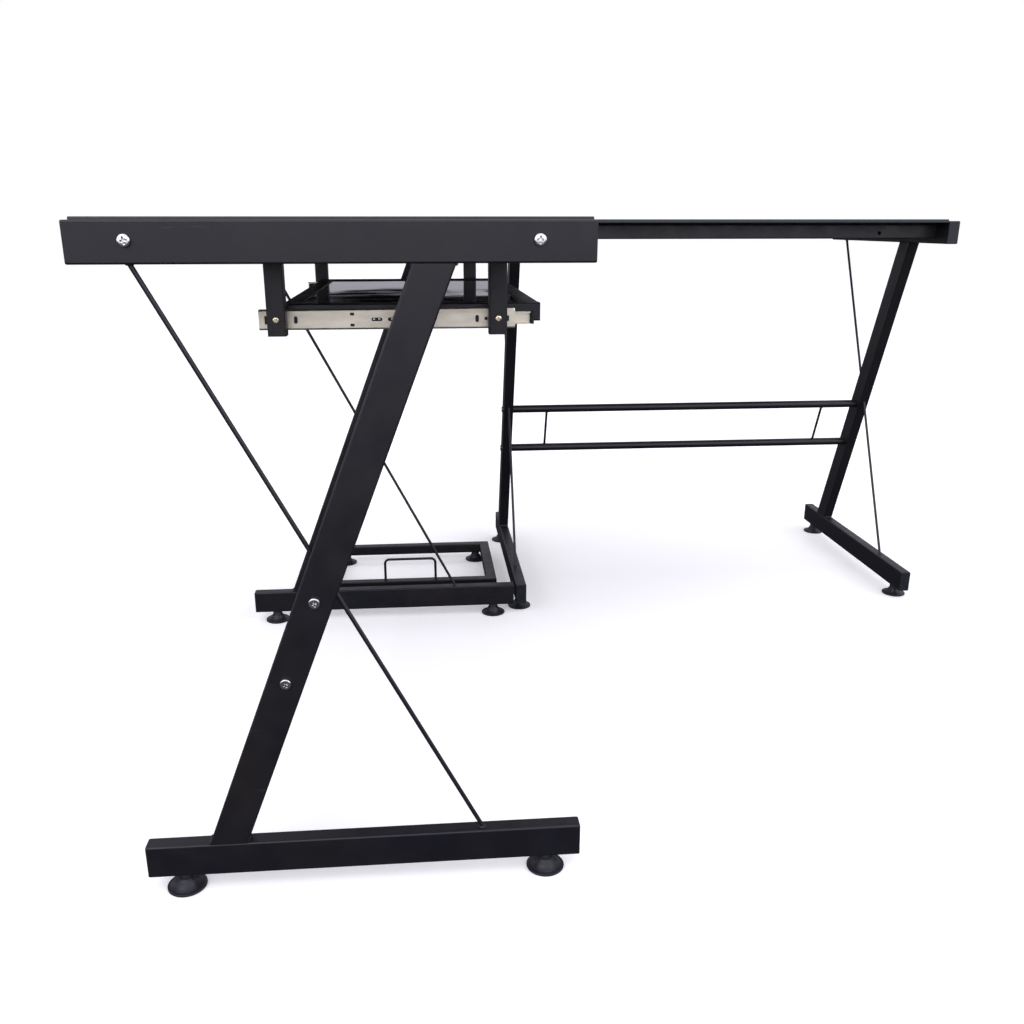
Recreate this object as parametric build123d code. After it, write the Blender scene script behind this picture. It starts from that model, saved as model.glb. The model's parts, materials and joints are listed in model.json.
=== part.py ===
from build123d import *
import os

# L-shaped computer desk with a sliding keyboard tray and a separate stand for the
# computer. Two equal wings, each carried by two Z-shaped end frames of steel tube,
# meet at a corner top. Millimetres, +Z up, origin on the floor under the middle of
# the whole desk.
#
# A wing is drawn once in its own coordinates: s runs across the wing from its wall
# side (0) to the user's side (FRAME_LENGTH), l runs along it from the outer face of
# the first end frame (0) to the outer face of the second (WING_LENGTH), z is up.

# ---- driving dimensions -------------------------------------------------------
FRAME_LENGTH = 500.0      # length of a top beam and of a foot
BEAM_TOP = 738.0          # height of the top beams
WING_LENGTH = 805.0       # outer face to outer face of a wing's two end frames
WING_GAP = 5.0            # between the left wing's frames and the right wing
TUBE_DEEP = 40.0          # frame tube, tall side
TUBE_WIDE = 20.0          # frame tube, thin side
TUBE_WALL = 1.5
TUBE_ROUND = 2.0          # outer corner radius of the frame tube
LEG_TOP_S = 342.0         # middle of the leg where it meets the beam
LEG_FOOT_S = 94.0         # middle of the leg where it meets the foot
ROD_TOP_S = 56.0
ROD_FOOT_S = 385.0
ROD_DIA = 5.0
CAP_THICK = 1.5           # visible rim of a plastic tube plug
PLUG_DEPTH = 15.0

RAIL_S = (56.0, 444.0)    # middle of the two side rails of a wing
RAIL_WIDE = 20.0
RAIL_TALL = 25.0
RAIL_DROP = 6.0           # rail top below beam top
END_PLUG_LENGTH = 20.0    # threaded block inside a tube's end
GLASS_THICK = 6.0
PAD_THICK = 3.0
PAD_INSET = 2.0           # pad strip is this much narrower than its rail, each side
GLASS_INSET = 0.0
GLASS_GAP = 0.75
GLASS_CORNER = 3.0        # corner radius of the wing tops
CORNER_TOP_ROUND = 60.0   # outer radius of the corner top

BRACE_Z = (353.0, 260.0)  # heights of the two brace bars
BRACE_DIA = 16.0
STRUT_DIA = 5.0
STRUT_FROM_LEG = 75.0

BOLT_DIA = 6.0
BOLT_HEAD_DIA = 12.5
BOLT_HEAD_TALL = 3.5
BOLT_REACH = 18.0         # thread length beyond the tube that it clamps
HOLE_DIA = 6.4
RUN_CLEARANCE = 0.05      # radial play of a rod or stem in its hole
THREAD_HOLE_DIA = 6.1
BOLT_SLOT = 6.5           # length of each arm of the cross slot
SLOT_WIDE = 1.3
HEAD_ROUNDING = 0.55      # edge radius of a screw head, as a share of its height
SCREW_DIA = 4.0           # slide screws
SCREW_HEAD_DIA = 7.0
SCREW_HEAD_TALL = 2.2
TRAY_SCREW_HEAD_TALL = 1.4
SCREW_PAST = 0.2          # a hanger screw ends this far past the slide's web
SCREW_SLOT = 3.6
SCREW_HOLE_DIA = 4.1
DRILL_PAST = 4.0          # a cutter runs this far past the wall that it cuts

GLIDE_HEIGHT = 20.0
GLIDE_DIA = 45.0
GLIDE_NECK_DIA = 17.0
GLIDE_RIM = 3.2           # height of the rim
GLIDE_NECK_Z = 15.5       # where the flare reaches the neck
GLIDE_FLARE = 3.8         # the flare's middle point, out from the neck
GLIDE_FLARE_Z = 8.0
GLIDE_STEM_DIA = 8.0
GLIDE_STEM_DESK = 45.0    # top of a desk glide's stem
GLIDE_STEM_STAND = 36.5
GLIDE_HOLE_DIA = 8.8
GLIDE_INSET = 40.0
GLIDE_SHOULDER_GAP = 0.5
NUT_ACROSS = 13.0
NUT_TALL = 6.0

HANGER_SIZE = 20.0
HANGER_S = (172.5, 413.5)
HANGER_L = 118.0          # outer face of the first pair; the second pair mirrors it
HANGER_BOTTOM = 617.5
SLIDE_LENGTH = 283.0
INNER_LENGTH = 277.0
SLIDE_S = 151.0           # wall-side end of the fixed slide member
SLIDE_Z = 633.2           # middle height of the slides
HANGER_SCREW_Z = 635.0    # the hanger screws pass a little above it
OUTER_TALL = 22.0
OUTER_DEEP = 10.0
INNER_TALL = 13.6
INNER_START = 4.0         # inner member starts this far into the outer one
INNER_DEEP = 8.0
SHEET = 1.2
CAGE_SHEET = 0.6
CAGE_LENGTH = 70.0
CAGE_SHORT = 0.8          # the cage stops this far inside the fixed member's flanges
BALL_DIA = 2.9
TRAY_PULLED = 24.0        # how far the tray stands out at rest
TRAY_S = (174.0, 464.0)   # tray frame at rest
TRAY_TOP = 649.0
TRAY_SIDE_TALL = 20.0
TRAY_CROSS_TALL = 18.0
TRAY_WALL = 1.2
TRAY_GLASS_THICK = 5.0
TRAY_GLASS_DROP = 1.5
TRAY_GLASS_GAP = 0.5
TRAY_GLASS_CORNER = 2.0
TRAY_TUBE = 20.0
TRAY_ROUND = 1.5
TRAY_SCREW_FROM_END = 40.0
LEDGE_WIDE = 10.0
LEDGE_THICK = 2.0
BALLS_PER_RACE = 6
BALL_FROM_END = 6.0
BALL_L = 6.0              # middle of the balls, from the fixed member's web
PLUG_ROUND = 0.5
NOSE_ROUND = 1.0
BUMPER_LONG = 4.0

GUSSET_LEG = 90.0         # plate under the joint of the two corner rails
GUSSET_THICK = 3.0
LEDGE_MID = 402.0         # corner shelf bracket, clear of the rail bolt's head
BRACKET_WIDE = 50.0
BRACKET_DEEP = 36.0
BRACKET_TALL = 24.0
BRACKET_SHEET = 2.0

STAND_X = (122.0, 474.0)  # from the desk's left side
STAND_Y = (877.0, 1121.0) # from the desk's front
STAND_TUBE = 20.0
STAND_GLIDE_IN = 30.0
HOOP_SPAN = 102.0
HOOP_TALL = 47.0
HOOP_DIA = 5.0
HOOP_ROUND = 9.0

# ---- sizes that follow --------------------------------------------------------
FOOT_BOTTOM = GLIDE_HEIGHT
FOOT_TOP = FOOT_BOTTOM + TUBE_DEEP
BEAM_BOTTOM = BEAM_TOP - TUBE_DEEP
RAIL_TOP = BEAM_TOP - RAIL_DROP
RAIL_MID = RAIL_TOP - RAIL_TALL / 2
GLASS_BOTTOM = RAIL_TOP + PAD_THICK
HANGER_TOP = RAIL_TOP - RAIL_TALL
CROSS_MID = HANGER_TOP + HANGER_SIZE / 2
DESK_X = FRAME_LENGTH + WING_GAP + WING_LENGTH
DESK_Y = WING_LENGTH - TUBE_WIDE + FRAME_LENGTH
GLIDE_OVERHANG = (GLIDE_DIA - TUBE_WIDE) / 2     # glides reach past the outer frames
ORIGIN = ((DESK_X + GLIDE_OVERHANG) / 2, (DESK_Y - GLIDE_OVERHANG) / 2)
LEFT_WING = Pos(-ORIGIN[0], -ORIGIN[1], 0)
RIGHT_WING = LEFT_WING * Pos(FRAME_LENGTH + WING_GAP, DESK_Y, 0) * Rot(0, 0, -90)
WINGS = {"left": LEFT_WING, "right": RIGHT_WING}
# first and second end frame of each wing, numbered along the desk
FRAMES = [("left", 0.0), ("left", WING_LENGTH - TUBE_WIDE),
          ("right", 0.0), ("right", WING_LENGTH - TUBE_WIDE)]

PARTS = {}


def keep(name, *solids):
    """Store a node. Its solids stay separate pieces."""
    flat = [s for item in solids for s in item.solids()]
    PARTS[name] = flat[0] if len(flat) == 1 else Compound(children=flat)


def block(s, l, z):
    """A box from three (low, high) pairs."""
    size = [high - low for low, high in (s, l, z)]
    middle = [(low + high) / 2 for low, high in (s, l, z)]
    return Pos(*middle) * Box(*size)


def tube(width, height, length, wall, radius):
    """A rounded rectangular tube along +Z, width on X and height on Y."""
    outer = extrude(RectangleRounded(width, height, radius), length)
    inner = extrude(RectangleRounded(width - 2 * wall, height - 2 * wall,
                                     max(radius - wall, 0.4)), length)
    return outer - inner


def drill(point, direction, diameter, length):
    """A cutter cylinder centred on a point."""
    plane = Plane(origin=point, z_dir=direction)
    return plane * Cylinder(diameter / 2, length)


def along_s(shape):
    """Turn a piece drawn along +Z so that it runs along +s."""
    return Rot(0, 90, 0) * shape


def along_l(shape):
    """Turn a piece drawn along +Z so that it runs along +l."""
    return Rot(-90, 0, 0) * shape


# ---- end frames ---------------------------------------------------------------
def leg_s(z):
    """Middle of the slanted leg at height z."""
    rise = (z - FOOT_TOP) / (BEAM_BOTTOM - FOOT_TOP)
    return LEG_FOOT_S + (LEG_TOP_S - LEG_FOOT_S) * rise


def level_tube(z_middle):
    """Beam or foot blank: between its two plug rims, on the frame's mid-plane."""
    body = tube(TUBE_DEEP, TUBE_WIDE, FRAME_LENGTH - 2 * CAP_THICK, TUBE_WALL, TUBE_ROUND)
    return Pos(CAP_THICK, TUBE_WIDE / 2, z_middle) * along_s(body)


def cut_level(shape, z_low, z_high):
    """Cut a slanted piece level at both ends."""
    slab = block((-100, FRAME_LENGTH + 100), (-10, TUBE_WIDE + 10), (z_low, z_high))
    return shape & slab


def axis_between(low, high):
    """Plane at the low point whose normal runs to the high point; x stays in the s-z plane."""
    a = Vector(low[0], TUBE_WIDE / 2, low[1])
    b = Vector(high[0], TUBE_WIDE / 2, high[1])
    direction = (b - a).normalized()
    return Plane(origin=a, x_dir=direction.cross(Vector(0, 1, 0)), z_dir=direction), (b - a).length


ROD_PLANE, ROD_RUN = axis_between((ROD_FOOT_S, FOOT_TOP), (ROD_TOP_S, BEAM_BOTTOM))
LEG_PLANE, LEG_RUN = axis_between((LEG_FOOT_S, FOOT_TOP), (LEG_TOP_S, BEAM_BOTTOM))
OVERRUN = 40.0


def make_leg():
    blank = tube(TUBE_DEEP, TUBE_WIDE, LEG_RUN + 2 * OVERRUN, TUBE_WALL, TUBE_ROUND)
    leg = cut_level(LEG_PLANE * Pos(0, 0, -OVERRUN) * blank, FOOT_TOP, BEAM_BOTTOM)
    rod_hole = ROD_PLANE * Pos(0, 0, ROD_RUN / 2) * Cylinder(ROD_DIA / 2 + RUN_CLEARANCE, ROD_RUN)
    leg = leg - rod_hole
    for z in BRACE_Z:
        leg -= drill((leg_s(z), TUBE_WIDE / 2, z), (0, 1, 0), HOLE_DIA, TUBE_WIDE + DRILL_PAST)
    return leg


def make_rod():
    blank = ROD_PLANE * Pos(0, 0, ROD_RUN / 2) * Cylinder(ROD_DIA / 2, ROD_RUN + 2 * OVERRUN)
    return cut_level(blank, FOOT_TOP, BEAM_BOTTOM)


def make_beam():
    beam = level_tube(BEAM_TOP - TUBE_DEEP / 2)
    for s in RAIL_S:
        beam -= drill((s, TUBE_WIDE / 2, RAIL_MID), (0, 1, 0), HOLE_DIA, TUBE_WIDE + DRILL_PAST)
    return beam


def make_foot():
    foot = level_tube(FOOT_BOTTOM + TUBE_DEEP / 2)
    for s in (GLIDE_INSET, FRAME_LENGTH - GLIDE_INSET):
        foot -= drill((s, TUBE_WIDE / 2, FOOT_BOTTOM), (0, 0, 1), GLIDE_HOLE_DIA, 2 * DRILL_PAST)
    return foot


def make_plug(z_middle, far_end):
    rim = Pos(0, 0, CAP_THICK / 2) * extrude(
        RectangleRounded(TUBE_DEEP, TUBE_WIDE, TUBE_ROUND), CAP_THICK / 2, both=True)
    inside = RectangleRounded(TUBE_DEEP - 2 * TUBE_WALL, TUBE_WIDE - 2 * TUBE_WALL, PLUG_ROUND)
    core = Pos(0, 0, CAP_THICK) * extrude(inside, PLUG_DEPTH)
    plug = along_s(rim + core)
    if far_end:
        plug = Pos(FRAME_LENGTH, 0, 0) * mirror(plug, about=Plane.YZ)
    return Pos(0, TUBE_WIDE / 2, z_middle) * plug


def make_glide(stem_top):
    """Bell-shaped levelling foot with its threaded stem, standing on z = 0."""
    top = GLIDE_HEIGHT - GLIDE_SHOULDER_GAP
    edge, neck, stem = GLIDE_DIA / 2, GLIDE_NECK_DIA / 2, GLIDE_STEM_DIA / 2
    with BuildSketch(Plane.XZ) as profile:
        with BuildLine():
            Polyline((0, 0), (edge - 1, 0), (edge, 1), (edge, GLIDE_RIM))
            ThreePointArc((edge, GLIDE_RIM), (neck + GLIDE_FLARE, GLIDE_FLARE_Z), (neck, GLIDE_NECK_Z))
            Polyline((neck, GLIDE_NECK_Z), (neck, top), (stem, top), (stem, stem_top),
                     (0, stem_top), (0, 0))
        make_face()
    return revolve(profile.sketch, Axis.Z)


def make_nut():
    hexagon = RegularPolygon(NUT_ACROSS / 2, 6, major_radius=False)
    bore = Pos(0, 0, NUT_TALL / 2) * Cylinder(GLIDE_STEM_DIA / 2 + RUN_CLEARANCE, NUT_TALL)
    nut = extrude(hexagon, NUT_TALL) - bore
    return Pos(0, 0, FOOT_BOTTOM + TUBE_WALL) * nut


GLIDE_DESK = make_glide(GLIDE_STEM_DESK)
GLIDE_STAND = make_glide(GLIDE_STEM_STAND)
NUT = make_nut()
beam, leg, foot, rod = make_beam(), make_leg(), make_foot(), make_rod()
rods, plugs, nuts = [], [], []
for number, (wing, start) in enumerate(FRAMES, 1):
    place = WINGS[wing] * Pos(0, start, 0)
    keep(f"frame_{number}_top_beam", place * beam)
    keep(f"frame_{number}_leg", place * leg)
    keep(f"frame_{number}_foot", place * foot)
    rods.append(place * rod)
    for z in (BEAM_TOP - TUBE_DEEP / 2, FOOT_BOTTOM + TUBE_DEEP / 2):
        plugs += [place * make_plug(z, False), place * make_plug(z, True)]
    for side, s in enumerate((GLIDE_INSET, FRAME_LENGTH - GLIDE_INSET)):
        spot = place * Pos(s, TUBE_WIDE / 2, 0)
        keep(f"desk_glide_{2 * number - 1 + side}", spot * GLIDE_DESK)
        nuts.append(spot * NUT)
keep("tie_rods", *rods)
keep("tube_end_plugs", *plugs)
keep("desk_glide_nuts", *nuts)

# ---- side rails, corner rails and their threaded end plugs --------------------
RAIL_RUN = (TUBE_WIDE, WING_LENGTH - TUBE_WIDE)
TRAY_HOLE_FROM_FRAME = HANGER_L + HANGER_SIZE / 2 - TUBE_WIDE


def make_rail(s, run, holes=()):
    rail = tube(RAIL_WIDE, RAIL_TALL, run[1] - run[0], TUBE_WALL, TUBE_ROUND)
    rail = Pos(s, run[0], RAIL_MID) * along_l(rail)
    for l in holes:
        rail -= drill((s, l, CROSS_MID), (1, 0, 0), HOLE_DIA, RAIL_WIDE + DRILL_PAST)
    return rail


def make_end_plug(s, start, into):
    """Threaded block inside a rail's end; into is +1 or -1 along l."""
    low, high = sorted((start, start + into * END_PLUG_LENGTH))
    half_w, half_t = RAIL_WIDE / 2 - TUBE_WALL, RAIL_TALL / 2 - TUBE_WALL
    body = block((s - half_w, s + half_w), (low, high), (RAIL_MID - half_t, RAIL_MID + half_t))
    body = fillet(body.edges().filter_by(Axis.Y), PLUG_ROUND)
    return body - drill((s, (low + high) / 2, RAIL_MID), (0, 1, 0), THREAD_HOLE_DIA,
                        END_PLUG_LENGTH + DRILL_PAST)


tray_holes = (RAIL_RUN[0] + TRAY_HOLE_FROM_FRAME, RAIL_RUN[1] - TRAY_HOLE_FROM_FRAME)
rail_plugs = []
for wing, place in WINGS.items():
    for label, s in zip(("wall", "user"), RAIL_S):
        keep(f"{wing}_wing_{label}_rail", place * make_rail(s, RAIL_RUN, tray_holes))
        rail_plugs.append(place * make_end_plug(s, RAIL_RUN[0], 1))
        rail_plugs.append(place * make_end_plug(s, RAIL_RUN[1], -1))

CORNER_OUT = DESK_Y - RAIL_S[0] + RAIL_WIDE / 2    # far face of the back corner rail
left_corner = (WING_LENGTH, CORNER_OUT)
keep("corner_rail_left", LEFT_WING * make_rail(RAIL_S[0], left_corner))
back_run = (-(FRAME_LENGTH + WING_GAP - RAIL_S[0] - RAIL_WIDE / 2), 0.0)
keep("corner_rail_back", RIGHT_WING * make_rail(RAIL_S[0], back_run))
rail_plugs.append(LEFT_WING * make_end_plug(RAIL_S[0], WING_LENGTH, 1))
rail_plugs.append(RIGHT_WING * make_end_plug(RAIL_S[0], 0.0, -1))


def make_corner_gusset():
    """Flat plate under the joint of the two corner rails."""
    inner = RAIL_S[0] - RAIL_WIDE / 2
    with BuildSketch() as plate:
        with BuildLine():
            Polyline((inner, CORNER_OUT), (inner + GUSSET_LEG, CORNER_OUT),
                     (inner + GUSSET_LEG, CORNER_OUT - RAIL_WIDE),
                     (inner + RAIL_WIDE, CORNER_OUT - GUSSET_LEG), (inner, CORNER_OUT - GUSSET_LEG),
                     close=True)
        make_face()
    return Pos(0, 0, HANGER_TOP - GUSSET_THICK) * extrude(plate.sketch, GUSSET_THICK)


def make_corner_ledge():
    """Angle bracket on the back of the left wing's second beam, under the corner glass."""
    s = (LEDGE_MID - BRACKET_WIDE / 2, LEDGE_MID + BRACKET_WIDE / 2)
    upright = block(s, (WING_LENGTH, WING_LENGTH + BRACKET_SHEET), (RAIL_TOP - BRACKET_TALL, RAIL_TOP))
    shelf = block(s, (WING_LENGTH, WING_LENGTH + BRACKET_DEEP), (RAIL_TOP - BRACKET_SHEET, RAIL_TOP))
    return upright + shelf


keep("corner_brackets", LEFT_WING * make_corner_gusset(), LEFT_WING * make_corner_ledge())


# ---- braces between the legs --------------------------------------------------
def make_braces():
    centres = [(leg_s(z), z) for z in BRACE_Z]
    run = RAIL_RUN[1] - RAIL_RUN[0]
    bars, whole = [], []
    for s, z in centres:
        blank = Pos(s, RAIL_RUN[0] + run / 2, z) * along_l(Cylinder(BRACE_DIA / 2, run))
        whole.append(blank)
        bar = blank
        for l in RAIL_RUN:
            bar -= drill((s, l, z), (0, 1, 0), THREAD_HOLE_DIA, 2 * (BOLT_REACH + DRILL_PAST))
        bars.append(bar)
    (s_up, z_up), (s_low, z_low) = centres
    struts = []
    for l in (RAIL_RUN[0] + STRUT_FROM_LEG, RAIL_RUN[1] - STRUT_FROM_LEG):
        line = Vector(s_up - s_low, 0, z_up - z_low)
        plane = Plane(origin=(s_low, l, z_low), z_dir=line)
        strut = plane * Pos(0, 0, line.length / 2) * Cylinder(STRUT_DIA / 2, line.length)
        struts.append(strut - whole[0] - whole[1])
    return bars + struts


for wing, place in WINGS.items():
    keep(f"{wing}_wing_braces", *[place * piece for piece in make_braces()])


# ---- glass tops and pads ------------------------------------------------------
def make_strip(s, l):
    """Soft strip along the top of a rail, under the glass."""
    return block(s, l, (RAIL_TOP, GLASS_BOTTOM))


def rail_band(middle):
    """Width of a strip lying on a rail, as a (low, high) pair."""
    half = RAIL_WIDE / 2 - PAD_INSET
    return middle - half, middle + half


wing_top = block((GLASS_INSET, FRAME_LENGTH - GLASS_INSET),
                 (RAIL_RUN[0] + GLASS_GAP, RAIL_RUN[1] - GLASS_GAP),
                 (GLASS_BOTTOM, GLASS_BOTTOM + GLASS_THICK))
wing_top = fillet(wing_top.edges().filter_by(Axis.Z), GLASS_CORNER)
pads = []
for wing, place in WINGS.items():
    keep(f"{wing}_wing_glass", place * wing_top)
    for s in RAIL_S:
        pads.append(place * make_strip(rail_band(s), RAIL_RUN))

corner_x = (GLASS_INSET, FRAME_LENGTH + WING_GAP - GLASS_GAP)
corner_y = (WING_LENGTH + GLASS_GAP, DESK_Y - GLASS_INSET)
corner = block(corner_x, corner_y, (GLASS_BOTTOM, GLASS_BOTTOM + GLASS_THICK))
outer_edge = corner.edges().filter_by(Axis.Z).sort_by(Axis.X)[:2].sort_by(Axis.Y)[-1]
corner = fillet(outer_edge, CORNER_TOP_ROUND)
keep("corner_glass", LEFT_WING * corner)
left_band = rail_band(RAIL_S[0])
back_band = rail_band(CORNER_OUT - RAIL_WIDE / 2)
bracket = (LEDGE_MID - BRACKET_WIDE / 2 + PAD_INSET, LEDGE_MID + BRACKET_WIDE / 2 - PAD_INSET)
pads.append(LEFT_WING * make_strip(left_band, (WING_LENGTH, back_band[0])))
pads.append(LEFT_WING * make_strip((left_band[0], FRAME_LENGTH + WING_GAP), back_band))
pads.append(LEFT_WING * make_strip(bracket, (WING_LENGTH + RAIL_WIDE / 2, WING_LENGTH + BRACKET_DEEP)))
keep("glass_pads", *pads)


# ---- bolts --------------------------------------------------------------------
def cross_slots(size, depth):
    return Box(size, SLOT_WIDE, depth) + Box(SLOT_WIDE, size, depth)


def make_bolt(head_dia, head_tall, shank_dia, reach, slot):
    """Pan-head cross-slot screw: head below z = 0, shank along +Z."""
    head = Pos(0, 0, -head_tall / 2) * Cylinder(head_dia / 2, head_tall)
    head = fillet(head.edges().group_by(Axis.Z)[0], head_tall * HEAD_ROUNDING)
    head -= Pos(0, 0, -head_tall) * cross_slots(slot, head_tall)
    return head + Pos(0, 0, reach / 2) * Cylinder(shank_dia / 2, reach)


def put(piece, point, direction):
    return Plane(origin=point, z_dir=direction) * piece


frame_bolt = make_bolt(BOLT_HEAD_DIA, BOLT_HEAD_TALL, BOLT_DIA, TUBE_WIDE + BOLT_REACH, BOLT_SLOT)
through_stud = Cylinder(BOLT_DIA / 2, TUBE_WIDE + 2 * BOLT_REACH)
bolts = []
for wing, place in WINGS.items():
    spots = [(s, RAIL_MID) for s in RAIL_S] + [(leg_s(z), z) for z in BRACE_Z]
    for end, face, inward in ((0, 0.0, 1), (1, WING_LENGTH, -1)):
        for s, z in spots:
            on_corner = s == RAIL_S[0] and (wing, end) in (("left", 1), ("right", 0))
            if on_corner:
                middle = face + inward * TUBE_WIDE / 2
                bolts.append(place * Pos(s, middle, z) * along_l(through_stud))
            else:
                bolts.append(place * put(frame_bolt, (s, face, z), (0, inward, 0)))

# ---- keyboard tray: brackets under the left wing ------------------------------
CROSS_RUN = (RAIL_S[0] + RAIL_WIDE / 2, RAIL_S[1] - RAIL_WIDE / 2)
near_l = (HANGER_L, HANGER_L + HANGER_SIZE)


def other_side(piece):
    """The same piece on the far side of the tray: mirrored about the wing's middle."""
    return Pos(0, WING_LENGTH, 0) * mirror(piece, about=Plane.XZ)


def make_cross_tube():
    body = tube(HANGER_SIZE, HANGER_SIZE, CROSS_RUN[1] - CROSS_RUN[0], TUBE_WALL, TUBE_ROUND)
    return Pos(CROSS_RUN[0], HANGER_L + HANGER_SIZE / 2, CROSS_MID) * along_s(body)


def make_cross_insert(end, into):
    """Threaded block in an end of the cross tube, drawn as part of the welded bracket."""
    low, high = sorted((end, end + into * END_PLUG_LENGTH))
    half = HANGER_SIZE / 2 - TUBE_WALL
    middle = HANGER_L + HANGER_SIZE / 2
    body = block((low, high), (middle - half, middle + half), (CROSS_MID - half, CROSS_MID + half))
    body = fillet(body.edges().filter_by(Axis.X), PLUG_ROUND)
    return body - drill(((low + high) / 2, middle, CROSS_MID), (1, 0, 0), THREAD_HOLE_DIA,
                        END_PLUG_LENGTH + DRILL_PAST)


def make_hanger(s):
    body = tube(HANGER_SIZE, HANGER_SIZE, HANGER_TOP - HANGER_BOTTOM, TUBE_WALL, TUBE_ROUND)
    body = Pos(s, HANGER_L + HANGER_SIZE / 2, HANGER_BOTTOM) * body
    return body - drill((s, HANGER_L + HANGER_SIZE / 2, HANGER_SCREW_Z), (0, 1, 0), SCREW_HOLE_DIA,
                        HANGER_SIZE + DRILL_PAST)


cross = make_cross_tube()
keep("tray_cross_tubes", LEFT_WING * cross, LEFT_WING * other_side(cross))
inserts = [make_cross_insert(CROSS_RUN[0], 1), make_cross_insert(CROSS_RUN[1], -1)]
hangers = [make_hanger(s) for s in HANGER_S]
keep("tray_hangers", *[LEFT_WING * h for h in hangers], *[LEFT_WING * other_side(h) for h in hangers])
for piece in inserts:
    rail_plugs += [LEFT_WING * piece, LEFT_WING * other_side(piece)]
keep("rail_end_plugs", *rail_plugs)
tray_bolt = make_bolt(BOLT_HEAD_DIA, BOLT_HEAD_TALL, BOLT_DIA, RAIL_WIDE + BOLT_REACH, BOLT_SLOT)
for l in tray_holes:
    bolts.append(LEFT_WING * put(tray_bolt, (RAIL_S[0] - RAIL_WIDE / 2, l, CROSS_MID), (1, 0, 0)))
    bolts.append(LEFT_WING * put(tray_bolt, (RAIL_S[1] + RAIL_WIDE / 2, l, CROSS_MID), (-1, 0, 0)))
keep("frame_bolts", *bolts)

# ---- ball slides --------------------------------------------------------------
OUTER_L = near_l[1]
INNER_L = OUTER_L + INNER_START
INNER_S = SLIDE_S + TRAY_PULLED


# windows in the fixed member: from its wall end, above its middle, width, height, rounded
SLIDE_WINDOWS = [(8.0, 0.0, 3.5, 9.0, False), (40.2, 0.0, 4.0, 8.0, True),
                 (101.9, 6.0, 4.5, 3.0, False), (101.9, -6.0, 4.5, 3.0, False),
                 (129.0, 0.0, 12.0, 4.0, True), (147.0, 0.0, 12.0, 4.0, True),
                 (240.4, 0.0, 4.0, 8.0, True), (250.5, 0.0, 3.5, 3.5, False),
                 (274.5, 0.0, 3.5, 6.0, False)]


def channel(s, l, z_half, web_at_start, sheet):
    """A C-section strip along s: web on one side, flanges above and below."""
    outer = block(s, l, (SLIDE_Z - z_half, SLIDE_Z + z_half))
    if web_at_start:
        hollow = (l[0] + sheet, l[1] + 1)
    else:
        hollow = (l[0] - 1, l[1] - sheet)
    inside = block((s[0] - 1, s[1] + 1), hollow, (SLIDE_Z - z_half + sheet, SLIDE_Z + z_half - sheet))
    return outer - inside


def window(s, z, width, height, round_ends):
    """A cutter for a slot or a square hole through a slide's web."""
    l = OUTER_L + SHEET / 2
    if not round_ends:
        return Pos(s, l, z) * Box(width, DRILL_PAST, height)
    shape = SlotOverall(width, height) if width > height else SlotOverall(height, width, rotation=90)
    return Pos(s, l, z) * Rot(90, 0, 0) * extrude(shape, DRILL_PAST / 2, both=True)


def make_outer():
    slide = channel((SLIDE_S, SLIDE_S + SLIDE_LENGTH), (OUTER_L, OUTER_L + OUTER_DEEP),
                    OUTER_TALL / 2, True, SHEET)
    for from_end, rise, width, height, round_ends in SLIDE_WINDOWS:
        slide -= window(SLIDE_S + from_end, SLIDE_Z + rise, width, height, round_ends)
    for s in HANGER_S:
        slide -= drill((s, OUTER_L, HANGER_SCREW_Z), (0, 1, 0), SCREW_HOLE_DIA, DRILL_PAST)
    return slide


TRAY_SCREW_S = (INNER_S + TRAY_SCREW_FROM_END, INNER_S + INNER_LENGTH - TRAY_SCREW_FROM_END)


def make_inner():
    slide = channel((INNER_S, INNER_S + INNER_LENGTH), (INNER_L, INNER_L + INNER_DEEP),
                    INNER_TALL / 2, False, SHEET)
    for s in TRAY_SCREW_S:
        slide -= drill((s, INNER_L + INNER_DEEP, SLIDE_Z), (0, 1, 0), SCREW_HOLE_DIA, DRILL_PAST)
    return slide


def make_cage():
    """Sheet cage with a row of balls in each race."""
    middle = (INNER_S + SLIDE_S + SLIDE_LENGTH) / 2
    s = (middle - CAGE_LENGTH / 2, middle + CAGE_LENGTH / 2)
    race = (OUTER_TALL / 2 - SHEET + INNER_TALL / 2) / 2
    start = (OUTER_L + SHEET + INNER_L) / 2 - CAGE_SHEET / 2
    cage = channel(s, (start, OUTER_L + OUTER_DEEP - CAGE_SHORT), race + CAGE_SHEET / 2, True, CAGE_SHEET)
    for z in (SLIDE_Z - race, SLIDE_Z + race):
        for step in range(BALLS_PER_RACE):
            pitch = (CAGE_LENGTH - 2 * BALL_FROM_END) / (BALLS_PER_RACE - 1)
            spot = s[0] + BALL_FROM_END + step * pitch
            cage += Pos(spot, OUTER_L + BALL_L, z) * Sphere(BALL_DIA / 2)
    return cage


def make_bumper():
    """Rubber nose on the front end of the moving member."""
    s = INNER_S + INNER_LENGTH
    nose = block((s, s + BUMPER_LONG), (INNER_L, INNER_L + INNER_DEEP),
                 (SLIDE_Z - INNER_TALL / 2, SLIDE_Z + INNER_TALL / 2))
    return fillet(nose.edges().filter_by(Axis.Z), NOSE_ROUND)


outer, inner, cage, bumper = make_outer(), make_inner(), make_cage(), make_bumper()
keep("slide_outer_near", LEFT_WING * outer)
keep("slide_outer_far", LEFT_WING * other_side(outer))
keep("slide_inner_near", LEFT_WING * inner)
keep("slide_inner_far", LEFT_WING * other_side(inner))
keep("slide_ball_cages", LEFT_WING * cage, LEFT_WING * other_side(cage))
keep("slide_bumpers", LEFT_WING * bumper, LEFT_WING * other_side(bumper))

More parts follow.
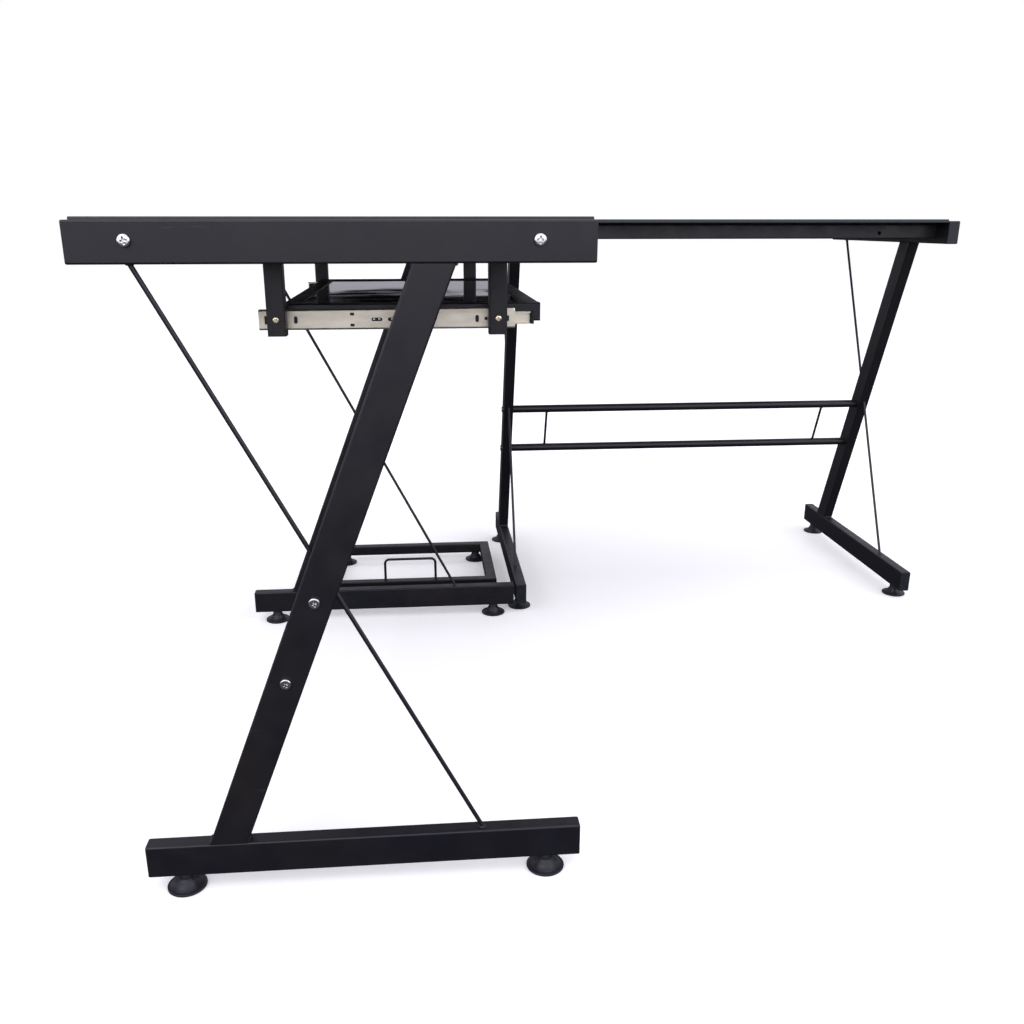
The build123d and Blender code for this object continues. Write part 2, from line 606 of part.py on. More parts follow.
hanger_screw = make_bolt(SCREW_HEAD_DIA, SCREW_HEAD_TALL, SCREW_DIA,
                         HANGER_SIZE + SHEET + SCREW_PAST, SCREW_SLOT)
screws = [put(hanger_screw, (s, HANGER_L, HANGER_SCREW_Z), (0, 1, 0)) for s in HANGER_S]
keep("hanger_screws", *[LEFT_WING * p for p in screws], *[LEFT_WING * other_side(p) for p in screws])
tray_screw = make_bolt(SCREW_HEAD_DIA, TRAY_SCREW_HEAD_TALL, SCREW_DIA, SHEET + DRILL_PAST, SCREW_SLOT)
screws = [put(tray_screw, (s, INNER_L + INNER_DEEP - SHEET, SLIDE_Z), (0, 1, 0)) for s in TRAY_SCREW_S]
keep("tray_screws", *[LEFT_WING * p for p in screws], *[LEFT_WING * other_side(p) for p in screws])

# ---- tray frame and its glass -------------------------------------------------
TRAY_L = (INNER_L + INNER_DEEP, WING_LENGTH - INNER_L - INNER_DEEP)


def make_tray_side():
    body = tube(TRAY_SIDE_TALL, TRAY_TUBE, TRAY_S[1] - TRAY_S[0], TRAY_WALL, TRAY_ROUND)
    side = Pos(TRAY_S[0], TRAY_L[0] + TRAY_TUBE / 2, TRAY_TOP - TRAY_SIDE_TALL / 2) * along_s(body)
    for s in TRAY_SCREW_S:
        side -= drill((s, TRAY_L[0], SLIDE_Z), (0, 1, 0), SCREW_HOLE_DIA, DRILL_PAST)
    return side


def make_tray_cross(s_middle):
    run = TRAY_L[1] - TRAY_L[0] - 2 * TRAY_TUBE
    body = tube(TRAY_TUBE, TRAY_CROSS_TALL, run, TRAY_WALL, TRAY_ROUND)
    return Pos(s_middle, TRAY_L[0] + TRAY_TUBE, TRAY_TOP - TRAY_CROSS_TALL / 2) * along_l(body)


side = make_tray_side()
keep("tray_side_rails", LEFT_WING * side, LEFT_WING * other_side(side))
keep("tray_cross_rails", LEFT_WING * make_tray_cross(TRAY_S[0] + TRAY_TUBE / 2),
     LEFT_WING * make_tray_cross(TRAY_S[1] - TRAY_TUBE / 2))

INSIDE_S = (TRAY_S[0] + TRAY_TUBE, TRAY_S[1] - TRAY_TUBE)
INSIDE_L = (TRAY_L[0] + TRAY_TUBE, TRAY_L[1] - TRAY_TUBE)
TRAY_GLASS_TOP = TRAY_TOP - TRAY_GLASS_DROP
LEDGE_TOP = TRAY_GLASS_TOP - TRAY_GLASS_THICK
LEDGE_Z = (LEDGE_TOP - LEDGE_THICK, LEDGE_TOP)
side_ledge = block(INSIDE_S, (INSIDE_L[0], INSIDE_L[0] + LEDGE_WIDE), LEDGE_Z)
between = (INSIDE_L[0] + LEDGE_WIDE, INSIDE_L[1] - LEDGE_WIDE)
end_ledges = [block((INSIDE_S[0], INSIDE_S[0] + LEDGE_WIDE), between, LEDGE_Z),
              block((INSIDE_S[1] - LEDGE_WIDE, INSIDE_S[1]), between, LEDGE_Z)]
keep("tray_glass_ledges", LEFT_WING * side_ledge, LEFT_WING * other_side(side_ledge),
     *[LEFT_WING * piece for piece in end_ledges])
panel = block((INSIDE_S[0] + TRAY_GLASS_GAP, INSIDE_S[1] - TRAY_GLASS_GAP),
              (INSIDE_L[0] + TRAY_GLASS_GAP, INSIDE_L[1] - TRAY_GLASS_GAP), (LEDGE_TOP, TRAY_GLASS_TOP))
keep("tray_glass", LEFT_WING * fillet(panel.edges().filter_by(Axis.Z), TRAY_GLASS_CORNER))

# ---- stand for the computer ---------------------------------------------------
stand_mid_x = sum(STAND_X) / 2
STAND_MID_Z = FOOT_BOTTOM + STAND_TUBE / 2


def mitred(run, cross_low):
    """A square tube along +s from run[0] to run[1], cut at 45 degrees toward higher l."""
    body = tube(STAND_TUBE, STAND_TUBE, run[1] - run[0], TUBE_WALL, TUBE_ROUND)
    body = Pos(run[0], cross_low + STAND_TUBE / 2, STAND_MID_Z) * along_s(body)
    with BuildSketch() as outline:
        with BuildLine():
            Polyline((run[0], cross_low), (run[1], cross_low),
                     (run[1] - STAND_TUBE, cross_low + STAND_TUBE),
                     (run[0] + STAND_TUBE, cross_low + STAND_TUBE), close=True)
        make_face()
    return body & Pos(0, 0, FOOT_BOTTOM - 1) * extrude(outline.sketch, STAND_TUBE + 2)


def about_centre(shape, turn):
    centre = (stand_mid_x, sum(STAND_Y) / 2, 0)
    return Pos(*centre) * Rot(0, 0, turn) * Pos(-centre[0], -centre[1], 0) * shape


front = mitred(STAND_X, STAND_Y[0])
for x in (STAND_X[0] + STAND_GLIDE_IN, STAND_X[1] - STAND_GLIDE_IN):
    front -= drill((x, STAND_Y[0] + STAND_TUBE / 2, FOOT_BOTTOM), (0, 0, 1), GLIDE_HOLE_DIA, 2 * DRILL_PAST)
half_y = (STAND_Y[1] - STAND_Y[0]) / 2
left_run = (stand_mid_x - half_y, stand_mid_x + half_y)
half_x = (STAND_X[1] - STAND_X[0]) / 2
side_tube = mitred(left_run, sum(STAND_Y) / 2 - half_x)
keep("stand_cross_tubes", LEFT_WING * front, LEFT_WING * about_centre(front, 180))
keep("stand_side_tubes", LEFT_WING * about_centre(side_tube, 90), LEFT_WING * about_centre(side_tube, -90))

hoop_y = STAND_Y[0] + STAND_TUBE / 2
hoop_z = FOOT_BOTTOM + STAND_TUBE
reach = HOOP_TALL - HOOP_DIA / 2
hoop_low, hoop_high = stand_mid_x - HOOP_SPAN / 2, stand_mid_x + HOOP_SPAN / 2
corners = [(hoop_low, hoop_y, hoop_z), (hoop_low, hoop_y, hoop_z + reach),
           (hoop_high, hoop_y, hoop_z + reach), (hoop_high, hoop_y, hoop_z)]
hoop_path = FilletPolyline(*corners, radius=HOOP_ROUND)
hoop_start = Plane(origin=corners[0], z_dir=(0, 0, 1))
keep("stand_hoop", LEFT_WING * sweep(hoop_start * Circle(HOOP_DIA / 2), path=hoop_path))

stand_nuts = []
number = 0
for y in (STAND_Y[0] + STAND_TUBE / 2, STAND_Y[1] - STAND_TUBE / 2):
    for x in (STAND_X[0] + STAND_GLIDE_IN, STAND_X[1] - STAND_GLIDE_IN):
        number += 1
        keep(f"stand_glide_{number}", LEFT_WING * Pos(x, y, 0) * GLIDE_STAND)
        stand_nuts.append(LEFT_WING * Pos(x, y, 0) * NUT)
keep("stand_glide_nuts", *stand_nuts)

# ---- write the pieces ---------------------------------------------------------
os.makedirs("parts", exist_ok=True)
for name, shape in PARTS.items():
    export_step(shape, f"parts/{name}.step")
print(len(PARTS), "nodes, desk", DESK_X, "x", DESK_Y, "mm, origin at", ORIGIN)
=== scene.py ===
# %% [markdown]
# A black L-shaped computer desk: steel tube end frames, dark glass tops, a keyboard
# tray on ball slides and a low stand for the computer. The measured model is loaded
# first and never moved. Everything else is placed from its boxes and its corners.

# %% Load the measured model
import json
import math

import bmesh
import bpy
from mathutils import Matrix, Vector


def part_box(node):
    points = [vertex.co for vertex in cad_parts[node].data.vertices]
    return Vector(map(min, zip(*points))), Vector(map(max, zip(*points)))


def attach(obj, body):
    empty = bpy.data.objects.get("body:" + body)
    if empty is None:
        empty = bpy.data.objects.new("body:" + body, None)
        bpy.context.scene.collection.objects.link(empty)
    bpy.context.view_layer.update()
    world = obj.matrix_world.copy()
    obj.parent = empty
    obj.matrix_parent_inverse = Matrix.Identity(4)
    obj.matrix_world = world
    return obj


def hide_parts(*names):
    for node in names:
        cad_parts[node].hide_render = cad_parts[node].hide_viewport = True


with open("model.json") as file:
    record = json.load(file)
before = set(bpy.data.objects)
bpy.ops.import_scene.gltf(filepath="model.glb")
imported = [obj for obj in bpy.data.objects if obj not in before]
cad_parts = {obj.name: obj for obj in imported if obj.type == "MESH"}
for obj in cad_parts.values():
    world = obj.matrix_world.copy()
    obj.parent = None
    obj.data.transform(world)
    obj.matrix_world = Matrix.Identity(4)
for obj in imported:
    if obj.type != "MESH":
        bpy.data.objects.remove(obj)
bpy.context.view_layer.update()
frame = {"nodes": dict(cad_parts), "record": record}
NODES = frame["nodes"]
SCENE = bpy.context.scene
MM = 0.001
SEED = 7

# %% [markdown]
# The camera stands in front of the free end of the left wing, level with the tops, and
# looks slightly down. Its place is given from the corner where the left wing's frame
# begins, because a maker measures from there.

# %% Camera
END_CAP = 1.5 * MM
BEAM_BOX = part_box("frame_1_top_beam")
FRAME_CORNER = Vector((BEAM_BOX[0].x - END_CAP, BEAM_BOX[0].y, 0))
CAMERA_FROM_CORNER = Vector((0.3232, -0.9460, 0.7348))
CAMERA_PITCH = math.radians(18.013)
CAMERA_YAW = math.radians(4.968)
CAMERA_ROLL = math.radians(-0.022)
LENS_MM = 33.423
SENSOR_MM = 36.0
CAMERA_SHIFT = (0.0113, 0.0197)


def make_camera():
    data = bpy.data.cameras.new("camera")
    data.lens = LENS_MM
    data.sensor_width = SENSOR_MM
    data.shift_x, data.shift_y = CAMERA_SHIFT
    data.clip_end = 100.0
    camera = bpy.data.objects.new("camera", data)
    SCENE.collection.objects.link(camera)
    camera.location = FRAME_CORNER + CAMERA_FROM_CORNER
    aim = Matrix.Rotation(-CAMERA_YAW, 4, "Z")
    aim = aim @ Matrix.Rotation(math.pi / 2 - CAMERA_PITCH, 4, "X")
    camera.rotation_euler = (aim @ Matrix.Rotation(CAMERA_ROLL, 4, "Z")).to_euler()
    SCENE.camera = camera
    print("camera at", [round(v, 3) for v in camera.location])


make_camera()

# %% [markdown]
# Black paint shows its surroundings more than its own colour. In a product studio the
# walls are bright and the floor near the object is shaded, so a level face mirrors the
# pale wall and looks dark grey, while a face seen from above mirrors the floor and looks
# black. The sky here has that shape: bright at the horizon, weaker overhead, and
# brighter on the side where the user and the lamps are than behind the desk.

# %% Sky and lamps
SCENE.view_settings.view_transform = "Standard"
# (height from straight down at 0 to straight up at 1, brightness)
SKY_STOPS = [(0.0, 0.08), (0.45, 0.12), (0.495, 1.0), (0.60, 1.08), (0.78, 0.80), (1.0, 0.70)]
SKY_FRONT, SKY_BEHIND = 1.95, 0.45
SKY_TINT = (1.0, 0.985, 1.10)


def link(tree, a, out, b, into):
    tree.links.new(a.outputs[out], b.inputs[into])


def camera_only(tree, seen, lit):
    """Mix two shaders: one for what the camera sees directly, one for what lights the object."""
    path = tree.nodes.new("ShaderNodeLightPath")
    mix = tree.nodes.new("ShaderNodeMixShader")
    link(tree, path, "Is Camera Ray", mix, 0)
    tree.links.new(lit, mix.inputs[1])
    tree.links.new(seen, mix.inputs[2])
    return mix.outputs[0]


def make_sky():
    world = bpy.data.worlds.new("studio")
    SCENE.world = world
    world.use_nodes = True
    tree = world.node_tree
    tree.nodes.clear()
    place = tree.nodes.new("ShaderNodeTexCoord")
    split = tree.nodes.new("ShaderNodeSeparateXYZ")
    link(tree, place, "Generated", split, "Vector")
    height = tree.nodes.new("ShaderNodeMapRange")
    height.inputs["From Min"].default_value = -1.0
    link(tree, split, "Z", height, "Value")
    ramp = tree.nodes.new("ShaderNodeValToRGB")
    for number, (position, light) in enumerate(SKY_STOPS):
        stops = ramp.color_ramp.elements
        stop = stops[number] if number < 2 else stops.new(position)
        stop.position = position
        stop.color = (*(light * part for part in SKY_TINT), 1)
    link(tree, height, "Result", ramp, "Fac")
    side = tree.nodes.new("ShaderNodeMapRange")
    side.inputs["From Min"].default_value = -1.0
    side.inputs["To Min"].default_value = SKY_FRONT
    side.inputs["To Max"].default_value = SKY_BEHIND
    link(tree, split, "Y", side, "Value")
    glow = tree.nodes.new("ShaderNodeBackground")
    link(tree, ramp, "Color", glow, "Color")
    link(tree, side, "Result", glow, "Strength")
    seen = tree.nodes.new("ShaderNodeBackground")
    seen.inputs["Color"].default_value = (1, 1, 1, 1)
    out = tree.nodes.new("ShaderNodeOutputWorld")
    tree.links.new(camera_only(tree, seen.outputs[0], glow.outputs[0]), out.inputs["Surface"])


def area_light(name, place, aim, size, power):
    data = bpy.data.lights.new(name, "AREA")
    data.shape = "RECTANGLE"
    data.size, data.size_y = size
    data.energy = power
    lamp = bpy.data.objects.new(name, data)
    SCENE.collection.objects.link(lamp)
    lamp.location = place
    lamp.rotation_euler = (Vector(place) - Vector(aim)).to_track_quat("Z", "Y").to_euler()


make_sky()
area_light("key", (-2.2, -2.6, 3.2), (0, 0, 0.4), (2.4, 1.6), 38)
area_light("fill", (2.6, -1.6, 2.4), (0, 0.2, 0.4), (1.6, 1.6), 16)
area_light("top", (0.2, 0.6, 3.6), (0, 0.2, 0), (3.0, 3.0), 40)
print("sky stops:", len(SKY_STOPS), "lamps: 3")

# %% [markdown]
# Every finish is one Principled shader whose colour, roughness and bump are driven by
# noise in object coordinates. The objects all sit at the origin, so a pattern has the
# same scale on every piece, in metres.

# %% Small helpers for finishes
class Finish:
    """One material, built node by node."""

    def __init__(self, name, **sockets):
        self.material = bpy.data.materials.new(name)
        self.material.use_nodes = True
        self.tree = self.material.node_tree
        self.shader = self.tree.nodes["Principled BSDF"]
        for key, value in sockets.items():
            self.shader.inputs[key.replace("_", " ")].default_value = value
        self.place = self.tree.nodes.new("ShaderNodeTexCoord").outputs["Object"]

    def stretched(self, scale, turn=(0, 0, 0)):
        """Object coordinates scaled and turned, for streaks."""
        node = self.tree.nodes.new("ShaderNodeMapping")
        node.inputs["Scale"].default_value = scale
        node.inputs["Rotation"].default_value = turn
        self.tree.links.new(self.place, node.inputs["Vector"])
        return node.outputs[0]

    def noise(self, scale, detail=3.0, rough=0.5, vector=None):
        """Soft clouds from 0 to 1; scale is in features per metre."""
        node = self.tree.nodes.new("ShaderNodeTexNoise")
        node.inputs["Scale"].default_value = scale
        node.inputs["Detail"].default_value = detail
        node.inputs["Roughness"].default_value = rough
        self.tree.links.new(vector or self.place, node.inputs["Vector"])
        return node.outputs["Fac"]

    def spots(self, scale):
        """Distance from the nearest of many scattered points."""
        node = self.tree.nodes.new("ShaderNodeTexVoronoi")
        node.inputs["Scale"].default_value = scale
        self.tree.links.new(self.place, node.inputs["Vector"])
        return node.outputs["Distance"]

    def span(self, value, low, high, to_low=0.0, to_high=1.0):
        """Carry a value from one range to another, clamped."""
        node = self.tree.nodes.new("ShaderNodeMapRange")
        limits = {"From Min": low, "From Max": high, "To Min": to_low, "To Max": to_high}
        for key, number in limits.items():
            node.inputs[key].default_value = number
        self.tree.links.new(value, node.inputs["Value"])
        return node.outputs[0]

    def combine(self, operation, a, b):
        node = self.tree.nodes.new("ShaderNodeMath")
        node.operation = operation
        for socket, value in zip(node.inputs, (a, b)):
            if hasattr(value, "links"):
                self.tree.links.new(value, socket)
            else:
                socket.default_value = value
        return node.outputs[0]

    def blend(self, factor, colour_a, colour_b):
        node = self.tree.nodes.new("ShaderNodeMix")
        node.data_type = "RGBA"
        self.tree.links.new(factor, node.inputs["Factor"])
        sockets = [s for s in node.inputs if s.type == "RGBA"]
        for socket, colour in zip(sockets, (colour_a, colour_b)):
            if hasattr(colour, "links"):
                self.tree.links.new(colour, socket)
            else:
                socket.default_value = (*colour, 1)
        return [s for s in node.outputs if s.type == "RGBA"][0]

    def wear(self, value, socket):
        """Drive one input of the shader."""
        self.tree.links.new(value, self.shader.inputs[socket])

    def bump(self, height, strength, distance, under=None):
        node = self.tree.nodes.new("ShaderNodeBump")
        node.inputs["Strength"].default_value = strength
        node.inputs["Distance"].default_value = distance
        self.tree.links.new(height, node.inputs["Height"])
        if under:
            self.tree.links.new(under, node.inputs["Normal"])
        self.tree.links.new(node.outputs[0], self.shader.inputs["Normal"])
        return node.outputs[0]


# %% [markdown]
# The frames are powder coated. Powder melts into a skin with a fine orange peel, so the
# bump is a small smooth noise, and a wider one varies the sheen. Handling leaves a few
# pale rubs and pin-point nicks, which only show where two noises are both high.

# %% Powder coat
INK = (0.0058, 0.0058, 0.0100)
WARM_INK = (0.0095, 0.0082, 0.0088)
RUB = (0.060, 0.060, 0.066)


def make_powder_coat():
    f = Finish("powder_coat", Roughness=0.40, Specular_IOR_Level=0.42)
    tone = f.span(f.noise(6.0, 4.0), 0.36, 0.64)
    colour = f.blend(tone, INK, WARM_INK)
    streak = f.noise(90.0, 2.0, 0.6, f.stretched((0.12, 1, 1)))
    rub_places = f.span(f.noise(7.0, 2.0), 0.57, 0.66)
    rubs = f.combine("MULTIPLY", f.span(streak, 0.66, 0.74), rub_places)
    nick_places = f.span(f.noise(11.0, 1.0), 0.58, 0.62)
    nicks = f.combine("MULTIPLY", f.span(f.spots(42.0), 0.060, 0.035), nick_places)
    marks = f.combine("MAXIMUM", f.combine("MULTIPLY", rubs, 0.35), nicks)
    f.wear(f.blend(marks, colour, RUB), "Base Color")
    sheen = f.span(f.noise(35.0, 3.0), 0.3, 0.7, 0.33, 0.46)
    f.wear(f.combine("ADD", sheen, f.combine("MULTIPLY", marks, 0.2)), "Roughness")
    wide = f.bump(f.noise(40.0, 2.0), 0.05, 0.002)
    f.bump(f.noise(850.0, 2.0), 0.14, 0.0004, wide)
    return f.material


# %% [markdown]
# Weld beads lie under the same powder, but the coat pools around their ripples, so they
# look glossier. Their colour is painted a little lighter than the tube beside them: painted
# sheen.

# %% Coated weld with painted sheen
WELD_SHEEN_DARK, WELD_SHEEN_LIGHT = (0.012, 0.011, 0.014), (0.020, 0.018, 0.019)


def make_weld_coat_with_sheen():
    f = Finish("coated_weld_painted_sheen", Roughness=0.3, Specular_IOR_Level=0.5)
    # both tones are lighter than the powder as painted sheen; the noise between them is random
    f.wear(f.blend(f.noise(300.0, 2.0), WELD_SHEEN_DARK, WELD_SHEEN_LIGHT), "Base Color")
    f.wear(f.span(f.noise(240.0, 2.0), 0.3, 0.7, 0.24, 0.42), "Roughness")
    f.bump(f.noise(1600.0, 3.0), 0.25, 0.0003)
    return f.material


# %% [markdown]
# The tops and the tray panel are nearly black tempered glass. Its faces are polished but
# never quite flat, because the sheet rode on rollers while it was soft, so mirrored lines
# bend in slow waves. The edges are ground, which turns them a dull grey green, so the
# edge is its own finish.

# %% Glass
EDGE_DARK, EDGE_LIGHT = (0.014, 0.019, 0.021), (0.024, 0.031, 0.032)


def make_black_glass(name, colour, see_through, waves):
    """Polished dark glass; waves is the height in metres of its slow unevenness."""
    f = Finish(name, Roughness=0.02, IOR=1.5, Transmission_Weight=see_through,
               Specular_IOR_Level=0.36)
    deeper = tuple(0.75 * part for part in colour)
    f.wear(f.blend(f.noise(3.0, 2.0), colour, deeper), "Base Color")
    smears = f.noise(9.0, 5.0, 0.62, f.stretched((1, 2.2, 1), (0, 0, 0.5)))
    f.wear(f.span(smears, 0.46, 0.72, 0.015, 0.11), "Roughness")
    f.bump(f.noise(4.0, 1.0, 0.4, f.stretched((1.5, 0.8, 1), (0, 0, 0.35))), 1.0, waves)
    return f.material


def make_ground_edge():
    f = Finish("ground_glass_edge", Roughness=0.36, Specular_IOR_Level=0.45)
    f.wear(f.blend(f.noise(40.0), EDGE_DARK, EDGE_LIGHT), "Base Color")
    f.wear(f.span(f.noise(260.0, 2.0), 0.3, 0.7, 0.28, 0.46), "Roughness")
    f.bump(f.noise(1800.0, 2.0), 0.15, 0.0001)
    return f.material


# %% [markdown]
# Galvanised slide strip is warm grey with soft cloudy patches and long rolling lines.
# The bolts are zinc plated and the slide screws have a yellow passivate.

# %% Bare metals
STRIP_DARK, STRIP_LIGHT, STRIP_STAIN = (0.60, 0.56, 0.44), (0.92, 0.88, 0.72), (0.40, 0.36, 0.27)


def make_galvanised():
    f = Finish("galvanised_strip", Metallic=1.0, Roughness=0.38)
    cloud = f.noise(30.0, 5.0, 0.62, f.stretched((0.30, 1, 1)))
    lines = f.noise(520.0, 2.0, 0.5, f.stretched((0.02, 1, 1)))
    stain = f.span(f.noise(14.0, 4.0, 0.6, f.stretched((0.5, 1, 1.5))), 0.50, 0.70)
    tone = f.blend(f.span(cloud, 0.3, 0.7), STRIP_DARK, STRIP_LIGHT)
    f.wear(f.blend(f.combine("MULTIPLY", stain, 0.5), tone, STRIP_STAIN), "Base Color")
    f.wear(f.span(cloud, 0.3, 0.7, 0.48, 0.30), "Roughness")
    f.bump(lines, 0.16, 0.0002)
    return f.material


def make_plated(name, light, dark, roughness):
    f = Finish(name, Metallic=1.0, Roughness=roughness)
    f.wear(f.blend(f.span(f.noise(220.0, 3.0), 0.35, 0.65), dark, light), "Base Color")
    uneven = f.noise(500.0, 2.0)
    f.wear(f.span(uneven, 0.3, 0.7, roughness - 0.06, roughness + 0.08), "Roughness")
    f.bump(f.noise(1500.0, 2.0), 0.06, 0.0002)
    return f.material


# %% [markdown]
# Plugs and glides are moulded in black plastic with a faint spark-eroded grain; the
# rubber parts are duller still.

# %% Plastics
def make_moulded(name, colour, roughness, grain):
    f = Finish(name, Roughness=roughness, Specular_IOR_Level=0.4)
    lighter = tuple(1.6 * part for part in colour)
    f.wear(f.blend(f.noise(30.0, 3.0), colour, lighter), "Base Color")
    uneven = f.noise(90.0, 2.0)
    f.wear(f.span(uneven, 0.3, 0.7, roughness - 0.05, roughness + 0.08), "Roughness")
    f.bump(f.spots(grain), 0.10, 0.0002)
    return f.material


POWDER = make_powder_coat()
WELD = make_weld_coat_with_sheen()
TOP_GLASS = make_black_glass("dark_top_glass", (0.018, 0.022, 0.022), 0.25, 0.4 * MM)
TRAY_GLASS = make_black_glass("black_tray_glass", (0.010, 0.010, 0.012), 0.0, 2.2 * MM)
GLASS_EDGE = make_ground_edge()
GALVANISED = make_galvanised()
ZINC = make_plated("bright_zinc", (0.70, 0.69, 0.68), (0.52, 0.52, 0.51), 0.17)
PASSIVATE = make_plated("yellow_passivate", (0.93, 0.88, 0.70), (0.72, 0.62, 0.40), 0.20)
PLASTIC = make_moulded("moulded_plastic", (0.0075, 0.0080, 0.0120), 0.42, 1400.0)
RUBBER = make_moulded("soft_rubber", (0.010, 0.010, 0.010), 0.70, 900.0)

FINISH_OF_SLOT = {
    "black_steel": POWDER, "smoked_glass": TOP_GLASS, "black_glass": TRAY_GLASS,
    "galvanised_steel": GALVANISED, "zinc_steel": ZINC, "brass_screws": PASSIVATE,
    "black_plastic": PLASTIC, "black_rubber": RUBBER,
}


def dress_nodes():
    for part in frame["record"]["subparts"]:
        for slot in NODES[part["node"]].material_slots:
            slot.material = FINISH_OF_SLOT[part["material_slot"]]


dress_nodes()
print("finishes:", len(bpy.data.materials))

# %% [markdown]
# Positions are measured on the model. A node can hold several separate solids, so this
# helper joins the loose triangles of a copy and returns the corners of each solid.

# %% Measure the separate solids of a node
JOIN = 0.004 * MM


def joined_copy(node):
    """A bmesh of a node with its loose triangles joined."""
    mesh = bmesh.new()
    mesh.from_mesh(NODES[node].data)
    bmesh.ops.remove_doubles(mesh, verts=mesh.verts, dist=JOIN)
    return mesh


def solids_of(node):
    """The corner points of each separate solid in a node."""
    mesh = joined_copy(node)
    waiting = set(mesh.verts)
    found = []
    while waiting:
        reached = [waiting.pop()]
        for vert in reached:
            for edge in vert.link_edges:
                other = edge.other_vert(vert)
                if other in waiting:
                    waiting.discard(other)
                    reached.append(other)
        found.append([vert.co.copy() for vert in reached])
    mesh.free()
    return sorted(found, key=lambda points: tuple(round(v, 4) for v in box_of(points)[0]))


def box_of(points):
    low = Vector([min(p[axis] for p in points) for axis in range(3)])
    high = Vector([max(p[axis] for p in points) for axis in range(3)])
    return low, high


def level_box(node, z, reach=0.3 * MM):
    """Box of a node's corners at one height."""
    return box_of([v.co for v in NODES[node].data.vertices if abs(v.co.z - z) < reach])


print("solids in frame_bolts:", len(solids_of("frame_bolts")))

# %% [markdown]
# Things that repeat, such as screws, plugs and glides, are one finished shape set down
# on many points. A Geometry Nodes tree does that: it turns each copy to face along the
# point's own direction, spins it a little by a seeded random angle, and makes the copies
# real, because the export drops instances.

# %% Geometry Nodes: set copies on points
def add_socket(tree, name, kind, value=None):
    socket = tree.interface.new_socket(name, in_out="INPUT", socket_type=kind)
    if value is not None:
        socket.default_value = value
    return socket


def new_tree(name):
    tree = bpy.data.node_groups.new(name, "GeometryNodeTree")
    tree.interface.new_socket("Geometry", in_out="OUTPUT", socket_type="NodeSocketGeometry")
    add_socket(tree, "Geometry", "NodeSocketGeometry")
    return tree, tree.nodes.new


def finish_tree(tree, shape, given):
    """End a tree: real geometry with the material from the input."""
    real = tree.nodes.new("GeometryNodeRealizeInstances")
    paint = tree.nodes.new("GeometryNodeSetMaterial")
    out = tree.nodes.new("NodeGroupOutput")
    tree.links.new(shape, real.inputs[0])
    tree.links.new(real.outputs[0], paint.inputs["Geometry"])
    tree.links.new(given.outputs["Material"], paint.inputs["Material"])
    tree.links.new(paint.outputs[0], out.inputs[0])


def make_copies_tree():
    tree, node = new_tree("copies_on_points")
    add_socket(tree, "Shape", "NodeSocketObject")
    add_socket(tree, "Size", "NodeSocketFloat", 1.0)
    add_socket(tree, "Random Turn", "NodeSocketFloat", 0.0)
    add_socket(tree, "Seed", "NodeSocketInt", SEED)
    add_socket(tree, "Material", "NodeSocketMaterial")
    given = node("NodeGroupInput")
    shape = node("GeometryNodeObjectInfo")
    tree.links.new(given.outputs["Shape"], shape.inputs["Object"])
    facing = node("GeometryNodeInputNamedAttribute")
    facing.data_type = "FLOAT_VECTOR"
    facing.inputs["Name"].default_value = "facing"
    align = node("FunctionNodeAlignRotationToVector")
    align.axis = "Z"
    tree.links.new(facing.outputs["Attribute"], align.inputs["Vector"])
    turn = node("FunctionNodeRandomValue")
    turn.data_type = "FLOAT"
    tree.links.new(given.outputs["Random Turn"], turn.inputs[3])
    tree.links.new(given.outputs["Seed"], turn.inputs["Seed"])
    spin = node("FunctionNodeAxisAngleToRotation")
    spin.inputs["Axis"].default_value = (0, 0, 1)
    tree.links.new(turn.outputs[1], spin.inputs["Angle"])
    upright = node("FunctionNodeAlignRotationToVector")
    upright.axis = "X"
    upright.pivot_axis = "Z"
    upright.inputs["Vector"].default_value = (0, 0, 1)
    tree.links.new(align.outputs[0], upright.inputs["Rotation"])
    both = node("FunctionNodeRotateRotation")
    both.rotation_space = "LOCAL"
    tree.links.new(upright.outputs[0], both.inputs["Rotation"])
    tree.links.new(spin.outputs[0], both.inputs["Rotate By"])
    place = node("GeometryNodeInstanceOnPoints")
    tree.links.new(given.outputs["Geometry"], place.inputs["Points"])
    tree.links.new(shape.outputs["Geometry"], place.inputs["Instance"])
    tree.links.new(both.outputs[0], place.inputs["Rotation"])
    tree.links.new(given.outputs["Size"], place.inputs["Scale"])
    finish_tree(tree, place.outputs[0], given)
    return tree


COPIES = make_copies_tree()


def run_tree(tree, seed_mesh, name, settings):
    """Evaluate a tree on a mesh and keep the result as a plain object."""
    piece = bpy.data.objects.new(name, seed_mesh)
    SCENE.collection.objects.link(piece)
    modifier = piece.modifiers.new("nodes", "NODES")
    modifier.node_group = tree
    for item in tree.interface.items_tree:
        if item.item_type == "SOCKET" and item.in_out == "INPUT" and item.name in settings:
            modifier[item.identifier] = settings[item.name]
    ready = piece.evaluated_get(bpy.context.evaluated_depsgraph_get())
    made = bpy.data.meshes.new_from_object(ready)
    piece.modifiers.clear()
    piece.data = made
    made.name = name
    return piece


def point_mesh(points, directions):
    mesh = bpy.data.meshes.new("points")
    mesh.from_pydata([tuple(p) for p in points], [], [])
    attribute = mesh.attributes.new("facing", "FLOAT_VECTOR", "POINT")
    for number, direction in enumerate(directions):
        attribute.data[number].vector = direction
    return mesh


def settle(piece, body, slot, *nodes):
    """Attach a finished piece to the body it rides on and hide the nodes it stands for. The slot
    is not used.
    """
    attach(piece, body)
    if nodes:
        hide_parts(*nodes)
    print(piece.name, "faces:", len(piece.data.polygons), "on", body)


